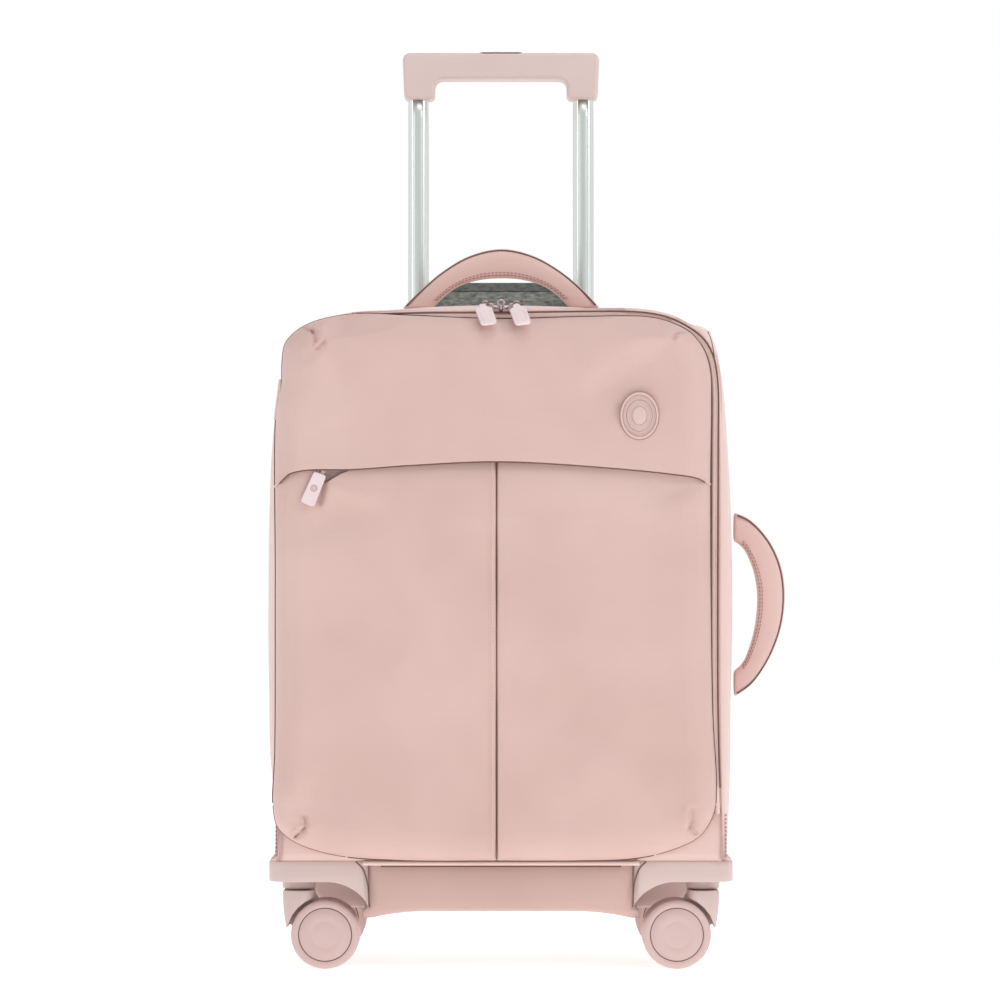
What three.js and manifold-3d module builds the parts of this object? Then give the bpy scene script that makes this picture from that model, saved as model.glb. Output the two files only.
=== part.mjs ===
// Soft-sided cabin suitcase on four twin-wheel spinner casters, with a two-stage trolley handle.
// Millimetres, +Z up. The front, with its zipped lid and pocket, faces -Y and the side carry handle is on +X.
// Pieces are laid out about the middle of the case. The last lines move the origin to the bottom centre.
import * as THREE from "three";
import { mergeVertices } from "three/addons/utils/BufferGeometryUtils.js";
import Module from "manifold-3d";

const wasm = await Module();
wasm.setup();

// ---------------------------------------------------------------- driving dimensions
const clearance = 0.3; // between pieces that meet without sliding
const eps = 1; // how far a cutting tool runs past the face it opens

// Case body
const caseWidth = 364;
const caseDepth = 200;
const archTop = 520; // highest line of the arched top panel, above the floor
const archRadius = 700;
const topCornerRadius = 30;
const seamAngle = Math.PI / 4; // where the side and top panels are sewn together, round the top corner
const baseHeight = 84; // underside of the base board
const bellyHeight = 44; // underside of the belly between the casters
const panelThickness = 6;
const boardThickness = 4;
const bellyThickness = 2.5; // moulded walls and floor of the belly's hollow
const liningThickness = 1.5;
const hoopThickness = 3;
const hoopDepth = 8;

// Lid, zip and front pocket
const lidSideInset = 19; // from the sides of the case in to the lid
const lidTopInset = 15; // from the arched top of the case down to the top of the lid
const lidBottom = 82;
const lidCornerRadius = 56;
const lidTopCornerRadius = 48;
const lidBoardThickness = 6;
const rimThickness = 4;
const zipTapeWidth = 3.4;
const zipTapeThickness = 2;
const zipEnd = 130; // height at which the zip stops on each side
const hingeGap = 4; // round the lid's lower corners, room for it to swing down
const pillowEdge = 22; // how far in from the piping the padded front keeps curving
const pocketFront = 24; // pocket face, in front of the case's front plane
const flapFront = 29; // flap face, in front of the case's front plane
const flapLip = 2.5; // thickness of the hem that hides the pocket zip
const hemDrop = 114; // from the top of the lid down to the flap's hem, in the middle
const hemSideDrop = 125; // and at the sides, where the hem is lower
const pocketZipDrop = 109;
const pocketZipInset = 17; // from the lid's edge to the end of the zip
const badgeInset = [56, 82]; // from the lid's right edge and its top to the badge's centre
const badgeSize = [29, 36];
const badgeThickness = 1.5;

// Zip sliders and pullers
const sliderSize = [9, 5, 7];
const mainSliderOffset = 13; // from the middle to each slider when the case is shut
const pullerSize = [11, 2.4, 26];
const mainPullerLean = 50; // degrees out from the vertical, over the lid's padded edge
const mainPullerTurn = 13; // degrees towards +X
const pocketSliderInset = 16; // from the end of the zip to the slider when the pocket is shut
const pocketPullerLength = 44;
const pocketPullerTurn = -23;
const pocketPullerThickness = 1.9;

// Trolley
const tubeSpacing = 134;
const bezelBackGap = 1; // between the bezel and the back panel
const tubeWall = 1.2;
const innerTubeDiameter = 17;
const tubeClearance = 0.3; // radial, between one tube and the next
const gripRaise = 195; // how far the grip stands above its stowed place
const gripSeatGap = 1; // under the stowed grip's legs
const gripWidth = 160;
const gripDepth = 24;
const gripBarHeight = 20;
const gripLegHeight = 39;
const gripLegWidth = 28;
const tubeFootRoom = 23; // from the foot of the middle tube to the foot of the stowed inner tube
const tubeInGrip = 3; // how far the inner tube passes the underside of the grip's bar
const outerTubeBottom = 95;
const midTubeBottom = 110;
const bezelRise = 4; // above the highest line of the top panel
const bezelHeight = 36;
const bezelFloor = 4;
const bezelWall = 3.5;
const bezelCorner = 7; // radius of its four upright edges
const guardRise = 18.5; // the rear wall of the bezel stands up behind the stowed grip, between the tubes
const guardWidth = 128;
const gripNestClearance = 1.5; // round the stowed grip, inside the bezel
const bracketTop = 106;
const buttonWidth = 33;
const buttonDepth = 19;
const buttonThickness = 5;
const buttonTravel = 4;
const rodRadius = 2;
const yokeThickness = 4;

// Casters
const swivelSideInset = 26; // from the side of the case to the swivel axis
const swivelEndInset = 28; // and from its front or back
const wheelRadius = 26.5;
const wheelWidth = 16;
const wheelTrail = 21;
const webThickness = 5;
const wheelSideClearance = 0.5;
const axleRadius = 2.5;
const housingInset = 4; // from the side of the case to the housing's outer face
const housingLength = 77;
const housingMiddle = 12; // face towards the other caster on that side
const housingBottom = 46;
const housingTop = 83.5;
const housingCorner = 16;
const wellTop = 67;
const wellRadius = 58;
const collarRadius = 13.5;
const forkTop = 60;
const pinRadius = 4;
const pinHeadRadius = 7;
const runningClearance = 0.3;

// Carry handles
const handleChord = 152;
const handleRise = 42;
const handleBand = 22.5; // width of the padded band at its middle
const handleInnerChord = 104;
const handleThickness = 18;
const handleBevel = 5;
const handleStandoff = 3.5; // between the handle's ends and the panel, room for it to tip
const sideHandleHeight = 279;

// ---------------------------------------------------------------- materials
const finish = (color, roughness, metalness = 0) =>
  new THREE.MeshStandardMaterial({ color, roughness, metalness });
const materials = {
  fabric: finish(0xdcb8ae, 0.62),
  lining: finish(0xcdb3ad, 0.8),
  zip: finish(0xc9a69d, 0.6),
  plastic: finish(0xddc2bc, 0.42),
  tyre: finish(0xdcbeb8, 0.55),
  bezel: finish(0x75777a, 0.5),
  board: finish(0x3d3c40, 0.8),
  aluminium: finish(0xc9cdcb, 0.28, 1),
  steel: finish(0x9a9ca0, 0.35, 1),
};

// ---------------------------------------------------------------- shape and solid helpers
const degrees = (angle) => (angle * Math.PI) / 180;

function roundedRect(x0, y0, x1, y1, radius) {
  const shape = new THREE.Shape();
  const quarter = Math.PI / 2;
  shape.absarc(x1 - radius, y0 + radius, radius, -quarter, 0, false);
  shape.absarc(x1 - radius, y1 - radius, radius, 0, quarter, false);
  shape.absarc(x0 + radius, y1 - radius, radius, quarter, 2 * quarter, false);
  shape.absarc(x0 + radius, y0 + radius, radius, 2 * quarter, 3 * quarter, false);
  shape.closePath();
  return shape;
}

// A closed outline through corners [x, y, rounding], each rounded by a quadratic curve.
function roundedShape(corners) {
  const shape = new THREE.Shape();
  corners.forEach(([x, y, rounding = 0], i) => {
    const corner = new THREE.Vector2(x, y);
    const towards = (step) => {
      const [nx, ny] = corners[(i + step + corners.length) % corners.length];
      return new THREE.Vector2(nx, ny).sub(corner).setLength(rounding).add(corner);
    };
    const before = towards(-1);
    const after = towards(1);
    if (i === 0) shape.moveTo(before.x, before.y);
    else shape.lineTo(before.x, before.y);
    if (rounding) shape.quadraticCurveTo(x, y, after.x, after.y);
  });
  shape.closePath();
  return shape;
}

// An outline drawn in X and Z, made solid from y0 (front) to y1.
function alongY(shape, y0, y1, curveSegments = 4) {
  const geometry = new THREE.ExtrudeGeometry(shape, { depth: y1 - y0, bevelEnabled: false, curveSegments });
  return geometry.rotateX(Math.PI / 2).translate(0, y1, 0);
}

// An outline drawn in X and Y, made solid from z0 to z1.
function alongZ(shape, z0, z1, curveSegments = 4) {
  const geometry = new THREE.ExtrudeGeometry(shape, { depth: z1 - z0, bevelEnabled: false, curveSegments });
  return geometry.translate(0, 0, z0);
}

// An outline drawn in Y and Z, made solid from x0 to x1.
function alongX(shape, x0, x1, curveSegments = 4) {
  const geometry = new THREE.ExtrudeGeometry(shape, { depth: x1 - x0, bevelEnabled: false, curveSegments });
  const turn = new THREE.Matrix4().makeBasis(
    new THREE.Vector3(0, 1, 0),
    new THREE.Vector3(0, 0, 1),
    new THREE.Vector3(1, 0, 0),
  );
  return geometry.applyMatrix4(turn).translate(x0, 0, 0);
}

function box(x0, x1, y0, y1, z0, z1) {
  return new THREE.BoxGeometry(x1 - x0, y1 - y0, z1 - z0).translate(
    (x0 + x1) / 2,
    (y0 + y1) / 2,
    (z0 + z1) / 2,
  );
}

// A round bar on the Z axis through (x, y), from z0 to z1.
function barZ(radius, z0, z1, x = 0, y = 0, segments = 20) {
  return new THREE.CylinderGeometry(radius, radius, z1 - z0, segments)
    .rotateX(Math.PI / 2)
    .translate(x, y, (z0 + z1) / 2);
}

// A round bar on the Y axis through (x, z), from y0 to y1.
function barY(radius, y0, y1, x = 0, z = 0, segments = 20) {
  return new THREE.CylinderGeometry(radius, radius, y1 - y0, segments).translate(x, (y0 + y1) / 2, z);
}

// A profile of [radius, z] points, upwards along its outside, turned about the Z axis.
function turned(profile, segments) {
  const points = profile.map(([radius, z]) => new THREE.Vector2(radius, -z)).reverse();
  return new THREE.LatheGeometry(points, segments).rotateX(-Math.PI / 2);
}

function toSolid(geometry) {
  const bare = geometry.index ? geometry.toNonIndexed() : geometry.clone();
  bare.deleteAttribute("normal");
  bare.deleteAttribute("uv");
  const merged = mergeVertices(bare, 1e-3);
  return new wasm.Manifold(
    new wasm.Mesh({
      numProp: 3,
      vertProperties: merged.attributes.position.array,
      triVerts: new Uint32Array(merged.index.array),
    }),
  );
}

function toGeometry(solid) {
  const mesh = solid.getMesh();
  const geometry = new THREE.BufferGeometry();
  geometry.setAttribute("position", new THREE.BufferAttribute(new Float32Array(mesh.vertProperties), 3));
  geometry.setIndex(new THREE.BufferAttribute(new Uint32Array(mesh.triVerts), 1));
  geometry.computeVertexNormals();
  return geometry;
}

const combine = (method) => (first, ...others) =>
  toGeometry(others.reduce((made, other) => made[method](toSolid(other)), toSolid(first)));
const cut = combine("subtract");
const join = combine("add");
const overlap = combine("intersect");

function part(name, geometry, material, parent) {
  const mesh = new THREE.Mesh(geometry, material);
  mesh.name = name;
  parent.add(mesh);
  return mesh;
}

// ---------------------------------------------------------------- values that follow from those dimensions
const halfWidth = caseWidth / 2;
const front = -caseDepth / 2;
const back = caseDepth / 2;
const housingOuter = halfWidth - housingInset;
const housingInner = housingOuter - housingLength;
const swivelX = halfWidth - swivelSideInset;
const swivelY = back - swivelEndInset;
const cornerX = halfWidth - topCornerRadius;
const archZ = archTop - archRadius;
const cornerZ = archZ + Math.sqrt((archRadius - topCornerRadius) ** 2 - cornerX ** 2);
const archAngle = Math.atan2(cornerZ - archZ, cornerX);
const boardTop = baseHeight + boardThickness;
const bezelHalfDepth = gripDepth / 2 + gripNestClearance + bezelWall;
const tubeY = back - panelThickness - bezelBackGap - bezelHalfDepth;
const liningInset = panelThickness + hoopThickness + 3 * clearance;
const liningBack = tubeY - bezelHalfDepth - 2 * clearance;
const liningFloor = boardTop + hoopThickness + 2 * clearance;
const tubeX = tubeSpacing / 2;
const lidWidth = caseWidth - 2 * lidSideInset;
const lidTop = archTop - lidTopInset;
const pocketZipHeight = lidTop - pocketZipDrop;
const pocketZipHalf = lidWidth / 2 - pocketZipInset;
const lidCornerX = lidWidth / 2 - lidTopCornerRadius;
const lidCornerZ = archZ + Math.sqrt((archRadius - lidTopInset - lidTopCornerRadius) ** 2 - lidCornerX ** 2);
const lidArchAngle = Math.atan2(lidCornerZ - archZ, lidCornerX);
const lidBack = front - 1;
const lidBoardFront = lidBack - lidBoardThickness;
const rimFront = front - clearance - rimThickness;
const zipGap = 2 * zipTapeWidth + 4 * clearance; // between the lid's edge and the rim, filled by two tapes
const zipTapeFront = front - 3.5;
const midTubeDiameter = innerTubeDiameter + 2 * (tubeClearance + tubeWall);
const outerTubeDiameter = midTubeDiameter + 2 * (tubeClearance + tubeWall);
const bezelTop = archTop + bezelRise;
const bezelBottom = bezelTop - bezelHeight;
const bezelFloorTop = bezelBottom + bezelFloor;
const guardTop = bezelTop + guardRise;
const gripTop = bezelFloorTop + gripSeatGap + gripLegHeight + gripRaise;
const innerTubeTop = gripTop - gripBarHeight + tubeInGrip;
const innerTubeBottom = midTubeBottom + tubeFootRoom + gripRaise;

const suitcase = new THREE.Group();

// ---------------------------------------------------------------- case body
// The body's front outline, inset from the outside: straight sides, round top corners and an arched top.
function bodyOutline(inset, bottom) {
  const shape = new THREE.Shape();
  const cornerRadius = topCornerRadius - inset;
  shape.moveTo(-halfWidth + inset, bottom);
  shape.lineTo(halfWidth - inset, bottom);
  shape.absarc(cornerX, cornerZ, cornerRadius, 0, archAngle, false);
  shape.absarc(0, archZ, archRadius - inset, archAngle, Math.PI - archAngle, false);
  shape.absarc(-cornerX, cornerZ, cornerRadius, Math.PI - archAngle, Math.PI, false);
  shape.closePath();
  return shape;
}

function sidePanel(side) {
  const shape = new THREE.Shape();
  const innerRadius = topCornerRadius - panelThickness;
  shape.moveTo(halfWidth - panelThickness, baseHeight);
  shape.lineTo(halfWidth, baseHeight);
  shape.absarc(cornerX, cornerZ, topCornerRadius, 0, seamAngle, false);
  shape.absarc(cornerX, cornerZ, innerRadius, seamAngle, 0, true);
  shape.closePath();
  const panel = alongY(shape, front, back, 3);
  return side > 0 ? panel : panel.rotateZ(Math.PI);
}

function topPanel() {
  const shape = new THREE.Shape();
  const start = seamAngle + clearance / (topCornerRadius - panelThickness);
  const innerRadius = topCornerRadius - panelThickness;
  shape.absarc(cornerX, cornerZ, topCornerRadius, start, archAngle, false);
  shape.absarc(0, archZ, archRadius, archAngle, Math.PI - archAngle, false);
  shape.absarc(-cornerX, cornerZ, topCornerRadius, Math.PI - archAngle, Math.PI - start, false);
  shape.absarc(-cornerX, cornerZ, innerRadius, Math.PI - start, Math.PI - archAngle, true);
  shape.absarc(0, archZ, archRadius - panelThickness, Math.PI - archAngle, archAngle, true);
  shape.absarc(cornerX, cornerZ, innerRadius, archAngle, start, true);
  shape.closePath();
  return cut(alongY(shape, front, back, 6), bezelBlock(clearance, archTop + eps, bezelBottom - eps));
}

// Base board with the belly that hangs between the casters and a bridge out to each side between them.
function baseTray() {
  const bellyHalf = housingInner - clearance;
  const hollowHalf = bellyHalf - bellyThickness;
  const hollowFront = front + bellyThickness;
  const hollowBottom = bellyHeight + bellyThickness;
  const bridgeHalf = housingMiddle - clearance;
  const boardHalf = halfWidth - panelThickness - clearance;
  const boardBack = back - panelThickness - clearance;
  const board = box(-boardHalf, boardHalf, front, boardBack, baseHeight, boardTop);
  const belly = box(-bellyHalf, bellyHalf, front, back, bellyHeight, baseHeight);
  const bridge = box(-housingOuter, housingOuter, -bridgeHalf, bridgeHalf, housingBottom, baseHeight);
  const hollow = box(-hollowHalf, hollowHalf, hollowFront, liningBack, hollowBottom, boardTop + eps);
  return cut(join(board, belly, bridge), hollow);
}

// Fabric tub inside the case, open at the front, with a deeper well in the belly.
function lining() {
  const tubFront = front + clearance;
  const outer = alongY(bodyOutline(liningInset, liningFloor), tubFront, liningBack);
  const inner = alongY(
    bodyOutline(liningInset + liningThickness, liningFloor + liningThickness),
    tubFront - eps,
    liningBack - liningThickness,
  );
  const wellHalf = housingInner - 2 * clearance - bellyThickness;
  const wellFront = front + bellyThickness + clearance;
  const wellFloor = bellyHeight + bellyThickness + clearance;
  const wellBack = liningBack - clearance;
  const well = box(-wellHalf, wellHalf, wellFront, wellBack, wellFloor, liningFloor + eps / 2);
  const wellInside = box(
    -wellHalf + liningThickness,
    wellHalf - liningThickness,
    wellFront + liningThickness,
    wellBack - liningThickness,
    wellFloor + liningThickness,
    liningFloor + 2 * eps,
  );
  return cut(join(outer, well), inner, wellInside);
}

// Spring-steel hoop that stiffens the mouth of the case, both feet on the base board.
function frameHoop() {
  const inset = panelThickness + clearance;
  const hoopFront = front + 2;
  const hoopBack = hoopFront + hoopDepth;
  const outside = alongY(bodyOutline(inset, boardTop + clearance), hoopFront, hoopBack);
  const inside = alongY(bodyOutline(inset + hoopThickness, boardTop), hoopFront - eps, hoopBack + eps);
  return cut(outside, inside);
}

// The lid's outline, drawn offset from its edge, with a top that follows the arch of the case.
function lidOutline(offset) {
  const shape = new THREE.Shape();
  const lowerX = lidWidth / 2 - lidCornerRadius;
  const lowerZ = lidBottom + lidCornerRadius;
  const lowerRadius = lidCornerRadius + offset;
  const upperRadius = lidTopCornerRadius + offset;
  const right = Math.PI / 2;
  shape.absarc(lowerX, lowerZ, lowerRadius, -right, 0, false);
  shape.absarc(lidCornerX, lidCornerZ, upperRadius, 0, lidArchAngle, false);
  shape.absarc(0, archZ, archRadius - lidTopInset + offset, lidArchAngle, Math.PI - lidArchAngle, false);
  shape.absarc(-lidCornerX, lidCornerZ, upperRadius, Math.PI - lidArchAngle, Math.PI, false);
  shape.absarc(-lowerX, lowerZ, lowerRadius, Math.PI, 1.5 * Math.PI, false);
  shape.closePath();
  return shape;
}

const aboveZipEnd = () => box(-caseWidth, caseWidth, -caseDepth, caseDepth, zipEnd, 2 * archTop);

// The face of the case round the lid. It stands back by the width of the zip, and by less below the zip.
function frontRim() {
  const plate = alongY(bodyOutline(0, baseHeight), rimFront, front - clearance);
  const past = (offset) => alongY(lidOutline(offset), rimFront - eps, front + eps);
  return cut(plate, past(hingeGap), overlap(past(zipGap), aboveZipEnd()));
}

function zipTape(offset) {
  const outline = lidOutline(offset + zipTapeWidth);
  outline.holes.push(lidOutline(offset));
  return alongY(outline, zipTapeFront, zipTapeFront + zipTapeThickness);
}

function buildCase() {
  const body = new THREE.Group();
  part("left_side_panel", sidePanel(-1), materials.fabric, body);
  part("right_side_panel", sidePanel(1), materials.fabric, body);
  part("top_panel", topPanel(), materials.fabric, body);
  const backInset = panelThickness + clearance;
  const backOutline = bodyOutline(backInset, baseHeight);
  part("back_panel", alongY(backOutline, back - panelThickness, back), materials.fabric, body);
  part("base_tray", baseTray(), materials.board, body);
  part("front_rim", frontRim(), materials.fabric, body);
  part("lining", lining(), materials.lining, body);
  part("frame_hoop", frameHoop(), materials.steel, body);
  const caseTape = overlap(zipTape(zipTapeWidth + 3 * clearance), aboveZipEnd());
  part("zip_tape_case", caseTape, materials.zip, body);
  return body;
}

// ---------------------------------------------------------------- lid and pocket
// Padded front of the lid: the lid's outline with an edge that curves over to a flat face, at depth in front.
function pillow(depth) {
  const straight = 2;
  const curve = depth - (front - lidBoardFront) - clearance - straight;
  const rounded = new THREE.ExtrudeGeometry(lidOutline(-pillowEdge), {
    depth: 2 * straight,
    bevelSize: pillowEdge,
    bevelThickness: curve,
    bevelSegments: 4,
    curveSegments: 5,
  });
  rounded.rotateX(Math.PI / 2).translate(0, front - depth + curve + 2 * straight, 0);
  return overlap(rounded, box(-caseWidth, caseWidth, -caseDepth, lidBoardFront - clearance, 0, 2 * archTop));
}

// Everything above the arched hem line of the flap.
function aboveHem() {
  const half = caseWidth;
  const reach = lidWidth / 2;
  const shape = new THREE.Shape();
  const hemSide = lidTop - hemSideDrop;
  const hemMiddle = lidTop - hemDrop;
  shape.moveTo(-half, hemSide);
  shape.lineTo(-reach, hemSide);
  shape.quadraticCurveTo(0, 2 * hemMiddle - hemSide, reach, hemSide);
  shape.lineTo(half, hemSide);
  shape.lineTo(half, 2 * archTop);
  shape.lineTo(-half, 2 * archTop);
  shape.closePath();
  return alongY(shape, -caseDepth, 0, 10);
}

const zipChannelHalf = 5; // half the height of the channel that holds the pocket zip

function pocketFlap() {
  const behindLip = box(
    -caseWidth,
    caseWidth,
    front - flapFront + flapLip,
    0,
    0,
    pocketZipHeight + zipChannelHalf,
  );
  return cut(overlap(pillow(flapFront), aboveHem()), behindLip);
}

function pocketPanel() {
  const below = box(-caseWidth, caseWidth, -caseDepth, 0, 0, pocketZipHeight - zipChannelHalf);
  return overlap(pillow(pocketFront), below);
}

function buildLid() {
  const lid = new THREE.Group();
  part("lid_board", alongY(lidOutline(0), lidBoardFront, lidBack), materials.fabric, lid);
  part("zip_tape_lid", overlap(zipTape(clearance), aboveZipEnd()), materials.zip, lid);
  part("pocket_panel", pocketPanel(), materials.fabric, lid);
  part("pocket_flap", pocketFlap(), materials.fabric, lid);
  const zipHalf = zipChannelHalf - 2 * clearance;
  const zipBack = front - pocketFront + 8;
  const pocketZip = box(
    -pocketZipHalf,
    pocketZipHalf,
    zipBack - zipTapeThickness,
    zipBack,
    pocketZipHeight - zipHalf,
    pocketZipHeight + zipHalf,
  );
  part("pocket_zip", pocketZip, materials.zip, lid);
  const badgeFace = new THREE.Shape().absellipse(0, 0, badgeSize[0] / 2, badgeSize[1] / 2, 0, 2 * Math.PI);
  const badge = part("badge", alongY(badgeFace, -badgeThickness, 0, 20), materials.plastic, lid);
  badge.position.set(lidWidth / 2 - badgeInset[0], front - flapFront - clearance, lidTop - badgeInset[1]);
  return lid;
}

// ---------------------------------------------------------------- zip sliders and pullers
// Slider body with a bail, its back face on y = 0.
function slider() {
  const [width, depth, height] = sliderSize;
  const outline = roundedShape([
    [-width / 2, -height / 2, 2],
    [width / 2, -height / 2, 2],
    [width / 2, height / 2, 2],
    [-width / 2, height / 2, 2],
  ]);
  return alongY(outline, -depth, 0, 3);
}

// Moulded puller hanging down from a pivot at its top end, with a hole near the pivot.
function puller(length, thickness) {
  const half = pullerSize[0] / 2;
  const neck = 3;
  const neckLength = length - pullerSize[2] + 4;
  const outline = roundedShape([
    [-neck, 0, 1.5],
    [-neck, -neckLength, 1],
    [-half, -neckLength - 2, 1.5],
    [-half + 1, -length, 3],
    [half - 1, -length, 3],
    [half, -neckLength - 2, 1.5],
    [neck, -neckLength, 1],
    [neck, 0, 1.5],
  ]);
  return alongY(outline, -thickness, 0, 3);
}

function buildMainZipPulls(side, label) {
  const zipHeight = lidTop + zipGap / 2;
  const rest = new THREE.Group();
  rest.position.set(side * mainSliderOffset, rimFront - clearance, zipHeight);
  part(`zip_slider_${label}`, slider(), materials.steel, rest);
  const hang = new THREE.Group();
  hang.position.set(0, -sliderSize[1] - 2 * clearance, 2);
  hang.rotation.set(degrees(-mainPullerLean), 0, 0);
  const turn = new THREE.Group();
  turn.rotation.set(0, degrees(-mainPullerTurn), 0);
  part(`zip_puller_${label}`, puller(pullerSize[2], pullerSize[1]), materials.plastic, turn);
  hang.add(turn);
  rest.add(hang);
  return rest;
}

function buildPocketPull() {
  const rest = new THREE.Group();
  const sliderBack = front - pocketFront + 8 - zipTapeThickness - clearance;
  rest.position.set(pocketSliderInset - pocketZipHalf, sliderBack, pocketZipHeight);
  part("pocket_zip_slider", slider(), materials.steel, rest);
  const hang = new THREE.Group();
  hang.position.set(0, front - pocketFront - clearance - sliderBack, 0);
  hang.rotation.set(0, degrees(-pocketPullerTurn), 0);
  part("pocket_zip_puller", puller(pocketPullerLength, pocketPullerThickness), materials.plastic, hang);
  rest.add(hang);
  return rest;
}

// ---------------------------------------------------------------- trolley
// The bezel's block, grown all round by offset, between two heights.
function bezelBlock(offset, top, bottom) {
  const halfLength = gripWidth / 2 + gripNestClearance + bezelWall + offset;
  const halfDepth = bezelHalfDepth + offset;
  const corner = bezelCorner + offset;
  const outline = roundedRect(-halfLength, tubeY - halfDepth, halfLength, tubeY + halfDepth, corner);
  return alongZ(outline, bottom, top);
}

function bezel() {
  const hole = (side) =>
    barZ(midTubeDiameter / 2 + tubeClearance, bezelBottom - eps, bezelFloorTop + eps, side * tubeX, tubeY);
  const wallBack = tubeY + bezelHalfDepth;
  const guard = box(-guardWidth / 2, guardWidth / 2, wallBack - bezelWall, wallBack, bezelFloorTop, guardTop);
  return cut(
    join(bezelBlock(0, bezelTop, bezelBottom), guard),
    bezelBlock(-bezelWall, guardTop + eps, bezelFloorTop),
    hole(-1),
    hole(1),
  );
}

function tube(diameter, bottom, top, side) {
  const outer = diameter / 2;
  const profile = [
    [outer - tubeWall, bottom],
    [outer, bottom],
    [outer, top],
    [outer - tubeWall, top],
    [outer - tubeWall, bottom],
  ];
  return turned(profile, 20).translate(side * tubeX, tubeY, 0);
}

function gripOutside() {
  const half = gripWidth / 2;
  const legInside = half - gripLegWidth;
  const legBottom = gripTop - gripLegHeight;
  const barBottom = gripTop - gripBarHeight;
  const face = roundedShape([
    [-half, legBottom, 4],
    [-legInside, legBottom, 4],
    [-legInside, barBottom, 7],
    [legInside, barBottom, 7],
    [legInside, legBottom, 4],
    [half, legBottom, 4],
    [half, gripTop, 6],
    [-half, gripTop, 6],
  ]);
  const end = roundedShape([
    [tubeY - gripDepth / 2, legBottom, 2],
    [tubeY + gripDepth / 2, legBottom, 2],
    [tubeY + gripDepth / 2, gripTop, 9],
    [tubeY - gripDepth / 2, gripTop, 9],
  ]);
  return overlap(
    alongY(face, tubeY - gripDepth / 2, tubeY + gripDepth / 2, 3),
    alongX(end, -half, half, 3),
  );
}

// The hole that the button, grown by offset, fills in the top of the grip.
function buttonBlock(offset, bottom) {
  const halfLength = buttonWidth / 2 + offset;
  const halfDepth = buttonDepth / 2 + offset;
  const outline = roundedRect(-halfLength, tubeY - halfDepth, halfLength, tubeY + halfDepth, 3 + offset);
  return alongZ(outline, bottom, gripTop + eps);
}

const buttonBottom = gripTop - buttonThickness;
const yokeTop = buttonBottom - clearance;
const yokeBottom = yokeTop - yokeThickness;
const chamberBottom = yokeBottom - buttonTravel - clearance;

function grip() {
  const chamberHalf = tubeX + 2 * rodRadius + 2;
  const chamberTop = buttonBottom + clearance;
  const chamber = box(-chamberHalf, chamberHalf, tubeY - 6, tubeY + 6, chamberBottom, chamberTop);
  const socket = (side) =>
    barZ(
      innerTubeDiameter / 2 + tubeClearance,
      gripTop - gripLegHeight - eps,
      chamberBottom + eps,
      side * tubeX,
      tubeY,
    );
  return cut(gripOutside(), chamber, buttonBlock(clearance, yokeBottom), socket(-1), socket(1));
}

// U-shaped release rod: a yoke under the button and a rod down each inner tube to its lock block.
function releaseRods() {
  const yoke = box(-tubeX - rodRadius, tubeX + rodRadius, tubeY - 4, tubeY + 4, yokeBottom, yokeTop);
  const rodEnd = innerTubeBottom + lockSpigot + buttonTravel + 1;
  const rod = (side) => barZ(rodRadius, rodEnd, yokeBottom + eps, side * tubeX, tubeY, 8);
  return join(yoke, rod(-1), rod(1));
}

const lockSpigot = 15;

// Plug in the foot of an inner tube, which carries the latch that the rod releases.
function lockBlock(side) {
  const spigotRadius = innerTubeDiameter / 2 - tubeWall - clearance;
  const flangeBottom = innerTubeBottom - 12;
  const profile = [
    [0, flangeBottom],
    [innerTubeDiameter / 2, flangeBottom],
    [innerTubeDiameter / 2, innerTubeBottom - clearance],
    [spigotRadius, innerTubeBottom - clearance],
    [spigotRadius, innerTubeBottom + lockSpigot],
    [0, innerTubeBottom + lockSpigot],
  ];
  return turned(profile, 16).translate(side * tubeX, tubeY, 0);
}

function tubeBracket() {
  const half = tubeX + outerTubeDiameter / 2 + 4;
  const halfDepth = outerTubeDiameter / 2 + 2.5;
  const outline = roundedRect(-half, tubeY - halfDepth, half, tubeY + halfDepth, 6);
  const socketRadius = outerTubeDiameter / 2 + clearance;
  const socketBottom = outerTubeBottom - clearance;
  const socket = (side) => barZ(socketRadius, socketBottom, bracketTop + eps, side * tubeX, tubeY);
  return cut(alongZ(outline, boardTop + clearance, bracketTop), socket(-1), socket(1));
}

function buildTrolley() {
  const trolley = new THREE.Group();
  part("handle_bezel", bezel(), materials.bezel, trolley);
  part("tube_bracket", tubeBracket(), materials.board, trolley);
  const stages = [
    ["outer", outerTubeDiameter, outerTubeBottom, bezelBottom - clearance],
    ["mid", midTubeDiameter, midTubeBottom, bezelFloorTop - gripSeatGap],
    ["inner", innerTubeDiameter, innerTubeBottom, innerTubeTop],
  ];
  for (const [side, label] of [[-1, "left"], [1, "right"]]) {
    for (const [stage, diameter, bottom, top] of stages)
      part(`${stage}_tube_${label}`, tube(diameter, bottom, top, side), materials.aluminium, trolley);
    part(`lock_block_${label}`, lockBlock(side), materials.board, trolley);
  }
  part("grip", grip(), materials.plastic, trolley);
  const button = overlap(gripOutside(), buttonBlock(0, buttonBottom));
  part("release_button", button, materials.plastic, trolley);
  part("release_rods", releaseRods(), materials.steel, trolley);
  return trolley;
}

// ---------------------------------------------------------------- casters
// Each caster is made for the front left corner, about its own swivel axis, with the wheels trailing inwards.
const outerFace = swivelX - housingOuter;
const innerFace = swivelX - housingInner;
const frontFace = front + swivelY;
const middleFace = swivelY - housingMiddle;

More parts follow.
